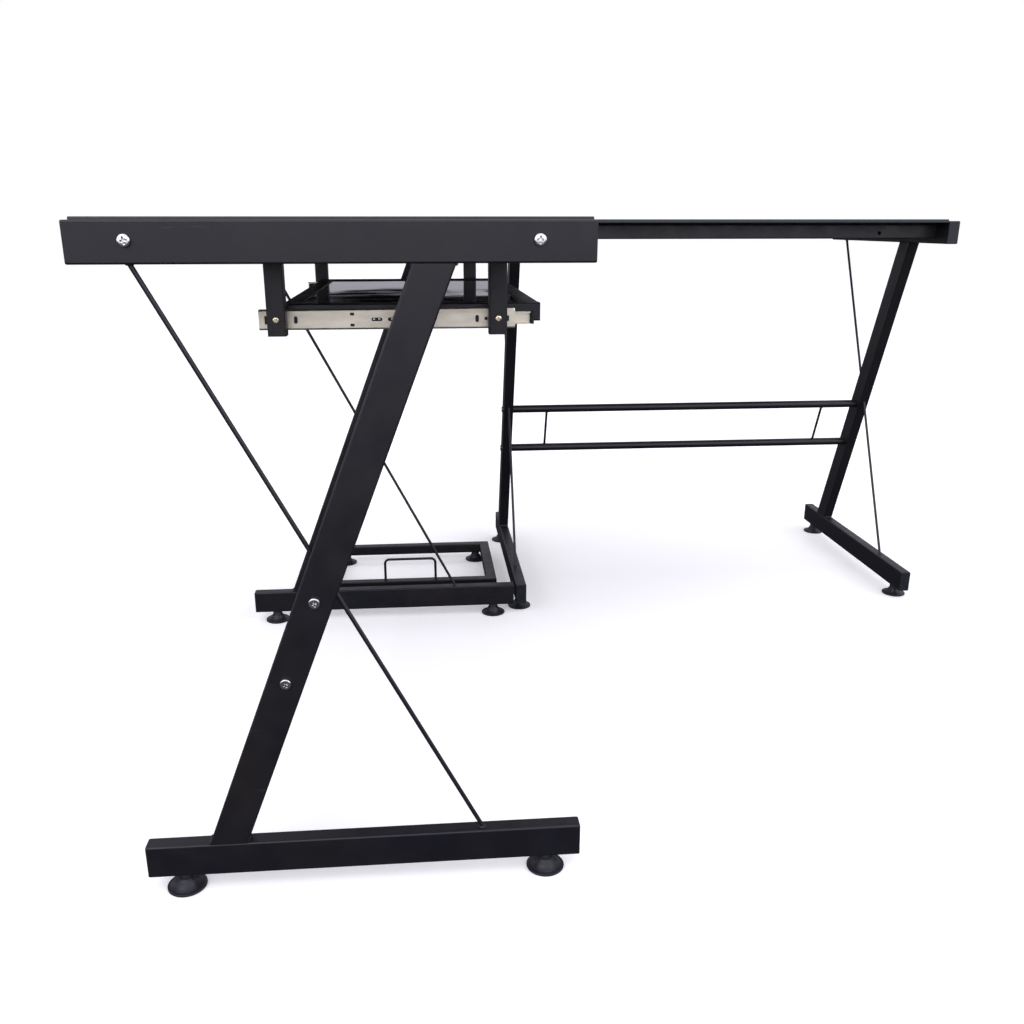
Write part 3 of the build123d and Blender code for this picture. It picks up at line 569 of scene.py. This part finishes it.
def copies(name, shape, points, directions, material, body, slot, *nodes, turn=0.0):
    """Set a shape down on every point, facing its direction, spun by up to turn."""
    settings = {"Shape": shape, "Size": 1.0, "Random Turn": turn, "Seed": SEED,
                "Material": material}
    piece = run_tree(COPIES, point_mesh(points, directions), name, settings)
    settle(piece, body, slot, *nodes)


print("tree:", COPIES.name, "inputs:", len(COPIES.interface.items_tree) - 1)

# %% [markdown]
# A turned shape, such as a screw head or a glide, is a profile spun around its axis. The
# seam is joined and the normals are recalculated, because a spin can leave them inward.

# %% Turned shapes
def turned(name, profile, segments):
    """Lathe a list of (radius, height) points, in millimetres, around Z."""
    mesh = bmesh.new()
    verts = [mesh.verts.new((r * MM, 0, z * MM)) for r, z in profile]
    edges = [mesh.edges.new(pair) for pair in zip(verts, verts[1:])]
    bmesh.ops.spin(mesh, geom=verts + edges, axis=(0, 0, 1), cent=(0, 0, 0),
                   steps=segments, angle=2 * math.pi)
    bmesh.ops.remove_doubles(mesh, verts=mesh.verts, dist=JOIN)
    bmesh.ops.recalc_face_normals(mesh, faces=mesh.faces)
    for face in mesh.faces:
        face.smooth = True
    return mesh_object(name, mesh)


def mesh_object(name, mesh, material=None):
    data = bpy.data.meshes.new(name)
    mesh.to_mesh(data)
    mesh.free()
    if material:
        data.materials.append(material)
    piece = bpy.data.objects.new(name, data)
    SCENE.collection.objects.link(piece)
    return piece


def applied(piece):
    """Turn a piece's modifiers into plain mesh."""
    ready = piece.evaluated_get(bpy.context.evaluated_depsgraph_get())
    made = bpy.data.meshes.new_from_object(ready)
    piece.modifiers.clear()
    piece.data = made


def discard(piece):
    bpy.data.objects.remove(piece)


def arc(middle, radius, start, end, steps):
    """Points on an arc of a profile, angles in degrees."""
    turns = [math.radians(start + (end - start) * step / steps) for step in range(steps + 1)]
    return [(middle[0] + radius * math.cos(a), middle[1] + radius * math.sin(a)) for a in turns]


# %% [markdown]
# The bolts are M6 pan heads. The head is turned with a low dome and a rounded rim, and a
# tapered cross is cut out of it with a boolean, which gives the sharp dark recess that a
# pan head shows. The heads are placed where the model's own heads are.

# %% Cross-recessed bolts
# millimetres
BOLT = {"head": 12.5, "tall": 3.5, "shank": 6.0, "reach": 36.0, "recess": 7.4}
HANGER_SCREW = {"head": 7.0, "tall": 2.2, "shank": 4.0, "reach": 20.0, "recess": 4.4}
TRAY_SCREW = {"head": 7.0, "tall": 1.4, "shank": 4.0, "reach": 5.0, "recess": 3.6}
RECESS_SLOT = 1.5 / 6.5           # width of a recess arm over its length
RECESS_DEEP = 0.72                # depth of the recess over the head's height
RIM_ROUND = 0.45                  # radius of the head's rim over its height
AXES = [Vector((1, 0, 0)), Vector((0, 1, 0)), Vector((0, 0, 1))]


def cross_cutter(reach, width, depth, top):
    """Two crossed wedges that narrow towards the bottom, in millimetres."""
    mesh = bmesh.new()
    for turn in (0, math.pi / 2):
        made = bmesh.ops.create_cube(mesh, size=1.0)["verts"]
        for vert in made:
            low = vert.co.z < 0
            vert.co.x *= reach * (0.45 if low else 1.0)
            vert.co.y *= width * (0.7 if low else 1.0)
            vert.co.z = top - depth if low else top + 1
            vert.co *= MM
        bmesh.ops.rotate(mesh, verts=made, cent=(0, 0, 0), matrix=Matrix.Rotation(turn, 3, "Z"))
    return mesh_object("cross_cutter", mesh)


def make_screw(name, head, tall, shank, reach, recess):
    """A screw seen from its head: the seat is at z = 0, the shank runs down."""
    rim = tall * RIM_ROUND
    dome = [(head / 2, 0.0), (head / 2, tall - rim)]
    dome += arc((head / 2 - rim, tall - rim), rim, 0, 62, 5)[1:]
    top = dome[-1]
    for quarter in (1, 2, 3):
        rise = (tall - top[1]) * math.sin(quarter * math.pi / 8)
        dome.append((top[0] * (1 - quarter / 4), top[1] + rise))
    profile = [(0, -reach), (shank / 2, -reach), (shank / 2, 0)] + dome + [(0, tall)]
    screw = turned(name, profile, 32)
    cutter = cross_cutter(recess, RECESS_SLOT * recess, tall * RECESS_DEEP, tall)
    cut = screw.modifiers.new("recess", "BOOLEAN")
    cut.object = cutter
    cut.solver = "EXACT"
    cut.use_self = True
    applied(screw)
    discard(cutter)
    return screw


def head_place(points, head_radius):
    """Seat and outward direction of a screw, from the corners of its solid.

    Corners further than head_radius from the long axis belong to the head. A plain stud
    has none, and gives None."""
    low, high = box_of(points)
    size = high - low
    axis = max(range(3), key=lambda number: size[number])
    middle = (low + high) / 2
    along = AXES[axis]
    far = [p for p in points
           if ((p - middle) - (p - middle).dot(along) * along).length > head_radius]
    if not far:
        return None
    sign = 1 if sum(p[axis] for p in far) / len(far) > middle[axis] else -1
    seat = middle.copy()
    seat[axis] = min((p[axis] for p in far), key=lambda v: v * sign)
    return seat, along * sign


def set_screws(name, node, shape_name, sizes, head_radius, material, body, slot):
    screw = make_screw(shape_name, **sizes)
    places = [head_place(points, head_radius) for points in solids_of(node)]
    seats, outward = zip(*[place for place in places if place])
    copies(name, screw, seats, outward, material, body, slot, node, turn=math.pi)
    discard(screw)


set_screws("pan_head_bolts", "frame_bolts", "bolt", BOLT, 4.0 * MM, ZINC, "desk", "zinc_steel")
set_screws("hanger_screw_heads", "hanger_screws", "hanger_screw", HANGER_SCREW, 2.6 * MM,
           PASSIVATE, "desk", "brass_screws")
set_screws("tray_screw_heads", "tray_screws", "tray_screw", TRAY_SCREW, 2.6 * MM,
           PASSIVATE, "tray", "brass_screws")

# %% [markdown]
# A levelling glide is a moulded bell on an M8 stem. It has a thin raised lip round its
# rim, a flared skirt and a neck that meets the tube. Its whole outline is one turned
# profile, and the stem's thread is drawn as a row of rings, which is all that shows when
# the glide is screwed out.

# %% Levelling glides
# (radius, height) in millimetres, from the middle of the foot up to the stem
GLIDE_PROFILE = [(0, 0), (20.6, 0), (21.8, 0.35), (22.4, 1.0), (22.5, 1.8), (22.4, 2.7),
                 (22.0, 3.2), (21.5, 3.3), (21.0, 3.1), (20.6, 2.8), (19.8, 2.9), (18.0, 3.6),
                 (16.0, 4.7), (14.0, 6.1), (12.4, 7.8), (11.2, 9.8), (10.4, 11.6), (9.7, 12.3),
                 (9.0, 12.7), (8.7, 13.4), (8.5, 14.4), (8.5, 18.7), (8.2, 19.3), (7.6, 19.5),
                 (4.0, 19.5)]
THREAD_PITCH = 1.25
STEM_CREST, STEM_ROOT = 4.0, 3.4


def make_glide(stem_top):
    profile = list(GLIDE_PROFILE)
    z = GLIDE_PROFILE[-1][1] + 0.3
    while z + THREAD_PITCH < stem_top - 1:
        profile += [(STEM_ROOT, z), (STEM_CREST, z + THREAD_PITCH / 2)]
        z += THREAD_PITCH
    profile += [(STEM_ROOT, stem_top - 0.6), (STEM_ROOT - 1, stem_top), (0, stem_top)]
    return turned("glide", profile, 40)


def set_glides(prefix, count):
    for number in range(1, count + 1):
        node = f"{prefix}_glide_{number}"
        low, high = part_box(node)
        shape = make_glide(high.z / MM)
        foot = Vector(((low.x + high.x) / 2, (low.y + high.y) / 2, low.z))
        copies(f"{prefix}_glide_bell_{number}", shape, [foot], [AXES[2]], PLASTIC, node,
               "black_plastic", node)
        discard(shape)


set_glides("desk", 8)
set_glides("stand", 4)

# %% [markdown]
# Each open tube end is closed by a moulded plug. Its face is a soft pillow with a rounded
# rim, slightly smaller than the tube, which leaves the thin seam a plug shows. The cap is
# a rounded rectangle drawn in rings, each ring a little smaller and further out.

# %% Tube plugs
PLUG_SIZE = (40.0, 20.0)
# (height, inset) in millimetres, from inside the tube out to the middle of the face
PLUG_RINGS = [(-14.0, 2.2), (-0.2, 2.2), (0.0, 0.30), (0.9, 0.20), (1.25, 0.45), (1.45, 1.0),
              (1.5, 2.4), (1.5, 4.0), (1.36, 4.4), (1.36, 6.0)]
PLUG_CORNER = 2.2


def rounded_ring(mesh, width, tall, radius, z, steps=4):
    """A closed ring of corners at one height, in millimetres."""
    verts = []
    for cx, cy, start in ((1, 1, 0), (-1, 1, 90), (-1, -1, 180), (1, -1, 270)):
        middle = (cx * (width / 2 - radius), cy * (tall / 2 - radius))
        turn = arc(middle, radius, start, start + 90, steps)
        verts += [mesh.verts.new((x * MM, y * MM, z * MM)) for x, y in turn]
    return verts


def skin_rings(mesh, rings):
    """Join rings of corners into one closed skin."""
    for low, high in zip(rings, rings[1:]):
        for number in range(len(low)):
            after = (number + 1) % len(low)
            mesh.faces.new((low[number], low[after], high[after], high[number]))
    mesh.faces.new(reversed(rings[0]))
    mesh.faces.new(rings[-1])


def make_plug():
    mesh = bmesh.new()
    rings = []
    for z, inset in PLUG_RINGS:
        width, tall = (side - 2 * inset for side in PLUG_SIZE)
        rings.append(rounded_ring(mesh, width, tall, max(PLUG_CORNER - inset / 2, 0.4), z))
    skin_rings(mesh, rings)
    bmesh.ops.recalc_face_normals(mesh, faces=mesh.faces)
    return mesh_object("plug", mesh)


def tube_ends(tube):
    """The two end points of a level tube and the way each end faces."""
    low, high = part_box(tube)
    middle, size = (low + high) / 2, high - low
    axis = 0 if size.x > size.y else 1
    return [(middle + AXES[axis] * side * size[axis] / 2, AXES[axis] * side)
            for side in (-1, 1)]


FRAME_NUMBERS = (1, 2, 3, 4)
plug_shape = make_plug()
plugged = [f"frame_{n}_{part}" for n in FRAME_NUMBERS for part in ("top_beam", "foot")]
spots, outward = zip(*[end for tube in plugged for end in tube_ends(tube)])
copies("tube_plugs", plug_shape, spots, outward, PLASTIC, "desk", "black_plastic",
       "tube_end_plugs")
discard(plug_shape)

# %% [markdown]
# Welds join the legs, rods, struts and hoop. A bead follows a path, so a second tree
# draws it: it lays a round bead along each line and swells it in ripples a few
# millimetres apart, with a little unevenness from a seeded noise.

# %% Geometry Nodes: weld beads along lines
def make_bead_tree():
    tree, node = new_tree("weld_beads")
    add_socket(tree, "Bead Radius", "NodeSocketFloat", 0.002)
    add_socket(tree, "Ripple Pitch", "NodeSocketFloat", 0.0022)
    add_socket(tree, "Ripple Depth", "NodeSocketFloat", 0.10)
    add_socket(tree, "Seed", "NodeSocketInt", SEED)
    add_socket(tree, "Material", "NodeSocketMaterial")
    given = node("NodeGroupInput")

    def math_node(operation, a, b=None):
        step = node("ShaderNodeMath")
        step.operation = operation
        for socket, value in zip(step.inputs, (a, b)):
            if hasattr(value, "links"):
                tree.links.new(value, socket)
            elif value is not None:
                socket.default_value = value
        return step.outputs[0]

    curve = node("GeometryNodeMeshToCurve")
    tree.links.new(given.outputs["Geometry"], curve.inputs[0])
    even = node("GeometryNodeResampleCurve")
    even.mode = "LENGTH"
    tree.links.new(curve.outputs[0], even.inputs["Curve"])
    tree.links.new(math_node("DIVIDE", given.outputs["Ripple Pitch"], 4.0), even.inputs["Length"])
    along = node("GeometryNodeSplineParameter").outputs["Length"]
    ripples = math_node("DIVIDE", along, given.outputs["Ripple Pitch"])
    phase = math_node("MULTIPLY", ripples, 2 * math.pi)
    uneven = node("ShaderNodeTexNoise")
    uneven.noise_dimensions = "4D"
    uneven.inputs["Scale"].default_value = 260.0
    tree.links.new(given.outputs["Seed"], uneven.inputs["W"])
    lumps = math_node("MULTIPLY", uneven.outputs["Fac"], 2.0)
    wave = math_node("ADD", math_node("SINE", phase), lumps)
    swell = math_node("ADD", math_node("MULTIPLY", wave, given.outputs["Ripple Depth"]), 0.9)
    ring = node("GeometryNodeCurvePrimitiveCircle")
    ring.inputs["Resolution"].default_value = 8
    tree.links.new(given.outputs["Bead Radius"], ring.inputs["Radius"])
    skin = node("GeometryNodeCurveToMesh")
    skin.inputs["Fill Caps"].default_value = True
    tree.links.new(even.outputs[0], skin.inputs["Curve"])
    tree.links.new(swell, skin.inputs["Scale"])
    tree.links.new(ring.outputs[0], skin.inputs["Profile Curve"])
    smooth = node("GeometryNodeSetShadeSmooth")
    tree.links.new(skin.outputs[0], smooth.inputs["Geometry"])
    finish_tree(tree, smooth.outputs[0], given)
    return tree


BEADS = make_bead_tree()


def path_mesh(paths):
    """Open and closed lines as loose edges; a closed line is given as (points, True)."""
    mesh = bmesh.new()
    for points, closed in paths:
        verts = [mesh.verts.new(p) for p in points]
        for pair in zip(verts, verts[1:]):
            mesh.edges.new(pair)
        if closed:
            mesh.edges.new((verts[-1], verts[0]))
    data = bpy.data.meshes.new("paths")
    mesh.to_mesh(data)
    mesh.free()
    return data


def weld(name, paths, radius, pitch, body):
    """Draw beads along the paths; radius and pitch in millimetres."""
    settings = {"Bead Radius": radius * MM, "Ripple Pitch": pitch * MM, "Ripple Depth": 0.12,
                "Seed": SEED, "Material": WELD}
    settle(run_tree(BEADS, path_mesh(paths), name, settings), body, "black_steel")


def ring_about(middle, direction, radius, steps=14):
    """A circle of points round an axis."""
    turn = direction.to_track_quat("Z", "Y")
    angles = [2 * math.pi * k / steps for k in range(steps)]
    return [middle + turn @ Vector((radius * math.cos(a), radius * math.sin(a), 0))
            for a in angles]


def across_lines(low, high, z, out, inset):
    """Two short lines at the ends of a flat box, running across its narrow side."""
    long_axis = 0 if high.x - low.x > high.y - low.y else 1
    wide_axis = 1 - long_axis
    lines = []
    for edge, sign in ((low, -1), (high, 1)):
        ends = []
        for side, inward in ((low, 1), (high, -1)):
            point = Vector((0, 0, z))
            point[long_axis] = edge[long_axis] + sign * out
            point[wide_axis] = side[wide_axis] + inward * inset
            ends.append(point)
        lines.append((ends, False))
    return lines


# %% [markdown]
# A leg is as wide as the tubes it meets, so its front and back seams are ground flush and
# the bead shows only across its two narrow sides. Rods and struts have a ring of bead.

# %% Welds of the frames
LEG_BEAD, ROD_BEAD, HANGER_BEAD = 1.9, 1.1, 1.8
LEG_RIPPLE, ROD_RIPPLE, HANGER_RIPPLE = 2.4, 2.0, 2.2
SUNK = 0.3 * MM                # how deep a bead's line lies in the joint
ROD_RADIUS = 2.5 * MM
ROD_RING = 0.6 * MM            # a ring of bead stands this far outside the rod
STRUT_RING = 0.7 * MM
STRUT_LIMIT = 0.2              # longer solids of a brace are its bars


def rod_joints(points, reach=3.0 * MM):
    """Middles of a round rod's two ends."""
    low, high = box_of(points)
    ends = [[p for p in points if p.z < low.z + reach],
            [p for p in points if p.z > high.z - reach]]
    return [sum(group, Vector()) / len(group) for group in ends]


leg_lines, rod_rings = [], []
for number in FRAME_NUMBERS:
    leg = f"frame_{number}_leg"
    foot_z, beam_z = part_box(leg)[0].z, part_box(leg)[1].z
    for z, inward in ((foot_z, 1), (beam_z, -1)):
        low, high = level_box(leg, z)
        leg_lines += across_lines(low, high, z + inward * SUNK, -SUNK, 2.2 * MM)
for points in solids_of("tie_rods"):
    bottom, top = rod_joints(points)
    for middle in (bottom, top):
        rod_rings.append((ring_about(middle, AXES[2], ROD_RADIUS + ROD_RING), True))
for wing in ("left", "right"):
    for points in solids_of(f"{wing}_wing_braces"):
        low, high = box_of(points)
        if max(high - low) < STRUT_LIMIT:
            bottom, top = rod_joints(points)
            for middle in (bottom, top):
                ring = ring_about(middle, top - bottom, ROD_RADIUS + STRUT_RING)
                rod_rings.append((ring, True))
hanger_lines = []
for points in solids_of("tray_hangers"):
    low, high = box_of(points)
    hanger_lines += across_lines(low, high, high.z - 0.4 * MM, 0.3 * MM, 2.0 * MM)
weld("leg_welds", leg_lines, LEG_BEAD, LEG_RIPPLE, "desk")
weld("rod_welds", rod_rings, ROD_BEAD, ROD_RIPPLE, "desk")
weld("hanger_welds", hanger_lines, HANGER_BEAD, HANGER_RIPPLE, "desk")
hoop_low, hoop_high = level_box("stand_hoop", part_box("stand_hoop")[0].z)
hoop_y = (hoop_low.y + hoop_high.y) / 2
hoop_feet = [Vector((x, hoop_y, hoop_low.z + 0.4 * MM))
             for x in (hoop_low.x + ROD_RADIUS, hoop_high.x - ROD_RADIUS)]
hoop_rings = [(ring_about(p, AXES[2], ROD_RADIUS + STRUT_RING), True) for p in hoop_feet]
weld("hoop_welds", hoop_rings, ROD_BEAD, ROD_RIPPLE, "cpu_stand")

# %% [markdown]
# The glass sheets keep the model's outline, but a real sheet has its sharp edge ground off
# in a small bevel all round. A copy of the node is cleaned to flat faces, its top and
# bottom edges are bevelled, and the faces that aren't level take the ground finish.

# %% Glass with ground edges
TOP_BEVEL, TRAY_BEVEL = 0.9 * MM, 0.6 * MM


def clean_copy(node):
    """A bmesh of a node with its flat faces whole again and shaded flat."""
    mesh = joined_copy(node)
    bmesh.ops.dissolve_limit(mesh, angle_limit=math.radians(0.5), verts=mesh.verts,
                             edges=mesh.edges)
    for face in mesh.faces:
        face.smooth = False
    return mesh


def ground_sheet(name, node, bevel, polished, body, slot):
    mesh = clean_copy(node)
    rims = [e for e in mesh.edges if abs(e.verts[0].co.z - e.verts[1].co.z) < JOIN
            and e.calc_face_angle(0) > math.radians(60)]
    bmesh.ops.bevel(mesh, geom=rims, offset=bevel, segments=2, profile=0.5, affect="EDGES")
    bmesh.ops.recalc_face_normals(mesh, faces=mesh.faces)
    piece = mesh_object(name, mesh, polished)
    piece.data.materials.append(GLASS_EDGE)
    for face in piece.data.polygons:
        face.material_index = 0 if abs(face.normal.z) > 0.99 else 1
    settle(piece, body, slot, node)


for top, node in (("left", "left_wing_glass"), ("right", "right_wing_glass"),
                  ("corner", "corner_glass")):
    ground_sheet(f"{top}_top_sheet", node, TOP_BEVEL, TOP_GLASS, "desk", "smoked_glass")
ground_sheet("tray_sheet", "tray_glass", TRAY_BEVEL, TRAY_GLASS, "tray", "black_glass")

# %% [markdown]
# Slide members are rolled from strip, so the long corners of their web are round. The
# lower one turns towards the floor and reads as a dark line under the bright web. The
# corners are the long edges that lie on the web's own face.

# %% Slides with rolled corners
FIXED_ROLL, MOVING_ROLL = 2.2, 1.8
LONG_EDGE = 0.2
WEB_TO_FRONT = ("slide_outer_near", "slide_inner_far")


def rolled_copy(name, node, roll, body):
    mesh = clean_copy(node)
    low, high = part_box(node)
    web = low.y if node in WEB_TO_FRONT else high.y
    corners = [e for e in mesh.edges if e.calc_length() > LONG_EDGE
               and all(abs(v.co.y - web) < JOIN for v in e.verts)
               and min(abs(e.verts[0].co.z - low.z), abs(e.verts[0].co.z - high.z)) < JOIN]
    bmesh.ops.bevel(mesh, geom=corners, offset=roll * MM, segments=5, profile=0.5,
                    affect="EDGES")
    bmesh.ops.recalc_face_normals(mesh, faces=mesh.faces)
    print(name, "corners rolled:", len(corners))
    settle(mesh_object(name, mesh, GALVANISED), body, "galvanised_steel", node)


for side in ("near", "far"):
    rolled_copy(f"fixed_slide_{side}", f"slide_outer_{side}", FIXED_ROLL, "desk")
    rolled_copy(f"moving_slide_{side}", f"slide_inner_{side}", MOVING_ROLL, "tray")

# %% [markdown]
# Behind the windows of a fixed slide stands a dark plastic plate of painted shade, so the
# windows read black. Small steel studs stand in the long windows near the middle.

# %% Painted-shade plates behind the slide windows, and studs
# sizes of the dark plate of painted shade behind the slide windows, in millimetres
SHADE_PLATE_TALL, SHADE_PLATE_THICK, SHADE_PLATE_SHORT = 17.0, 0.6, 1.0
SHADE_PLATE_BACK = 1.3          # from the slide's outer face
STUD_BACK = 0.9
SLIDE_SIDES = (("near", -1), ("far", 1))
STUD_PROFILE = [(0, -0.6), (1.5, -0.6), (1.5, 0.3), (1.2, 0.6), (0.6, 0.75), (0, 0.78)]
STUD_FROM_WALL = (126.0, 131.5, 146.0)


def make_shade_plate(node, facing):
    """A thin rounded dark plate just behind the web of a fixed slide, painted shade for its
    windows; facing is the web's side.
    """
    low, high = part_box(node)
    web = low.y if facing < 0 else high.y
    middle = Vector(((low.x + high.x) / 2, web - facing * SHADE_PLATE_BACK * MM, (low.z + high.z) / 2))
    mesh = bmesh.new()
    length = (high.x - low.x) / MM - 2 * SHADE_PLATE_SHORT
    skin_rings(mesh, [rounded_ring(mesh, length - 2 * inset, SHADE_PLATE_TALL - 2 * inset, 2.0, depth)
                      for depth, inset in ((0.0, 0.2), (0.2, 0.0), (SHADE_PLATE_THICK, 0.0))])
    turn = Matrix((AXES[0], AXES[2], -facing * AXES[1])).transposed().to_4x4()
    bmesh.ops.transform(mesh, matrix=Matrix.Translation(middle) @ turn, verts=mesh.verts)
    bmesh.ops.recalc_face_normals(mesh, faces=mesh.faces)
    return mesh


# a dark plate of painted shade behind the windows of each fixed slide
for side, facing in SLIDE_SIDES:
    shade_plate_mesh = make_shade_plate(f"slide_outer_{side}", facing)
    settle(mesh_object(f"slide_liner_{side}", shade_plate_mesh, PLASTIC), "desk", "black_plastic")
stud = turned("stud", STUD_PROFILE, 16)
studs, outward = [], []
for side, facing in SLIDE_SIDES:
    low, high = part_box(f"slide_outer_{side}")
    level = (low.z + high.z) / 2
    depth = (low.y if facing < 0 else high.y) - facing * STUD_BACK * MM
    for along in STUD_FROM_WALL:
        studs.append(Vector((low.x + along * MM, depth, level)))
        outward.append(AXES[1] * facing)
copies("slide_studs", stud, studs, outward, ZINC, "desk", "zinc_steel")
discard(stud)

# %% [markdown]
# The floor is pale and stands under everything. The camera sees it pale, but the light it
# gives back to the paint is that of a shaded studio floor, so the low tubes stay black.
# Its underside is clear, so the desk can be looked at from below.

# %% Floor
FLOOR_HALF = 14.0
FLOOR_GLOW = 0.22
FLOOR_SHADED = (0.07, 0.07, 0.08)


def make_floor():
    f = Finish("pale_floor", Roughness=0.9, Specular_IOR_Level=0.1)
    f.wear(f.blend(f.noise(2.0), (0.90, 0.90, 0.90), (0.92, 0.92, 0.92)), "Base Color")
    f.shader.inputs["Emission Color"].default_value = (1, 1, 1, 1)
    f.shader.inputs["Emission Strength"].default_value = FLOOR_GLOW
    shaded = f.tree.nodes.new("ShaderNodeBsdfDiffuse")
    shaded.inputs["Color"].default_value = (*FLOOR_SHADED, 1)
    above = camera_only(f.tree, f.shader.outputs[0], shaded.outputs[0])
    under = f.tree.nodes.new("ShaderNodeNewGeometry").outputs["Backfacing"]
    clear = f.tree.nodes.new("ShaderNodeBsdfTransparent").outputs[0]
    one_sided = f.tree.nodes.new("ShaderNodeMixShader")
    for socket, value in zip(one_sided.inputs, (under, above, clear)):
        f.tree.links.new(value, socket)
    f.tree.links.new(one_sided.outputs[0], f.tree.nodes["Material Output"].inputs["Surface"])
    square = ((-1, -1), (1, -1), (1, 1), (-1, 1))
    corners = [(x * FLOOR_HALF, y * FLOOR_HALF, 0) for x, y in square]
    mesh = bpy.data.meshes.new("floor")
    mesh.from_pydata(corners, [], [(0, 1, 2, 3)])
    mesh.materials.append(f.material)
    floor = bpy.data.objects.new("floor", mesh)
    SCENE.collection.objects.link(floor)


make_floor()
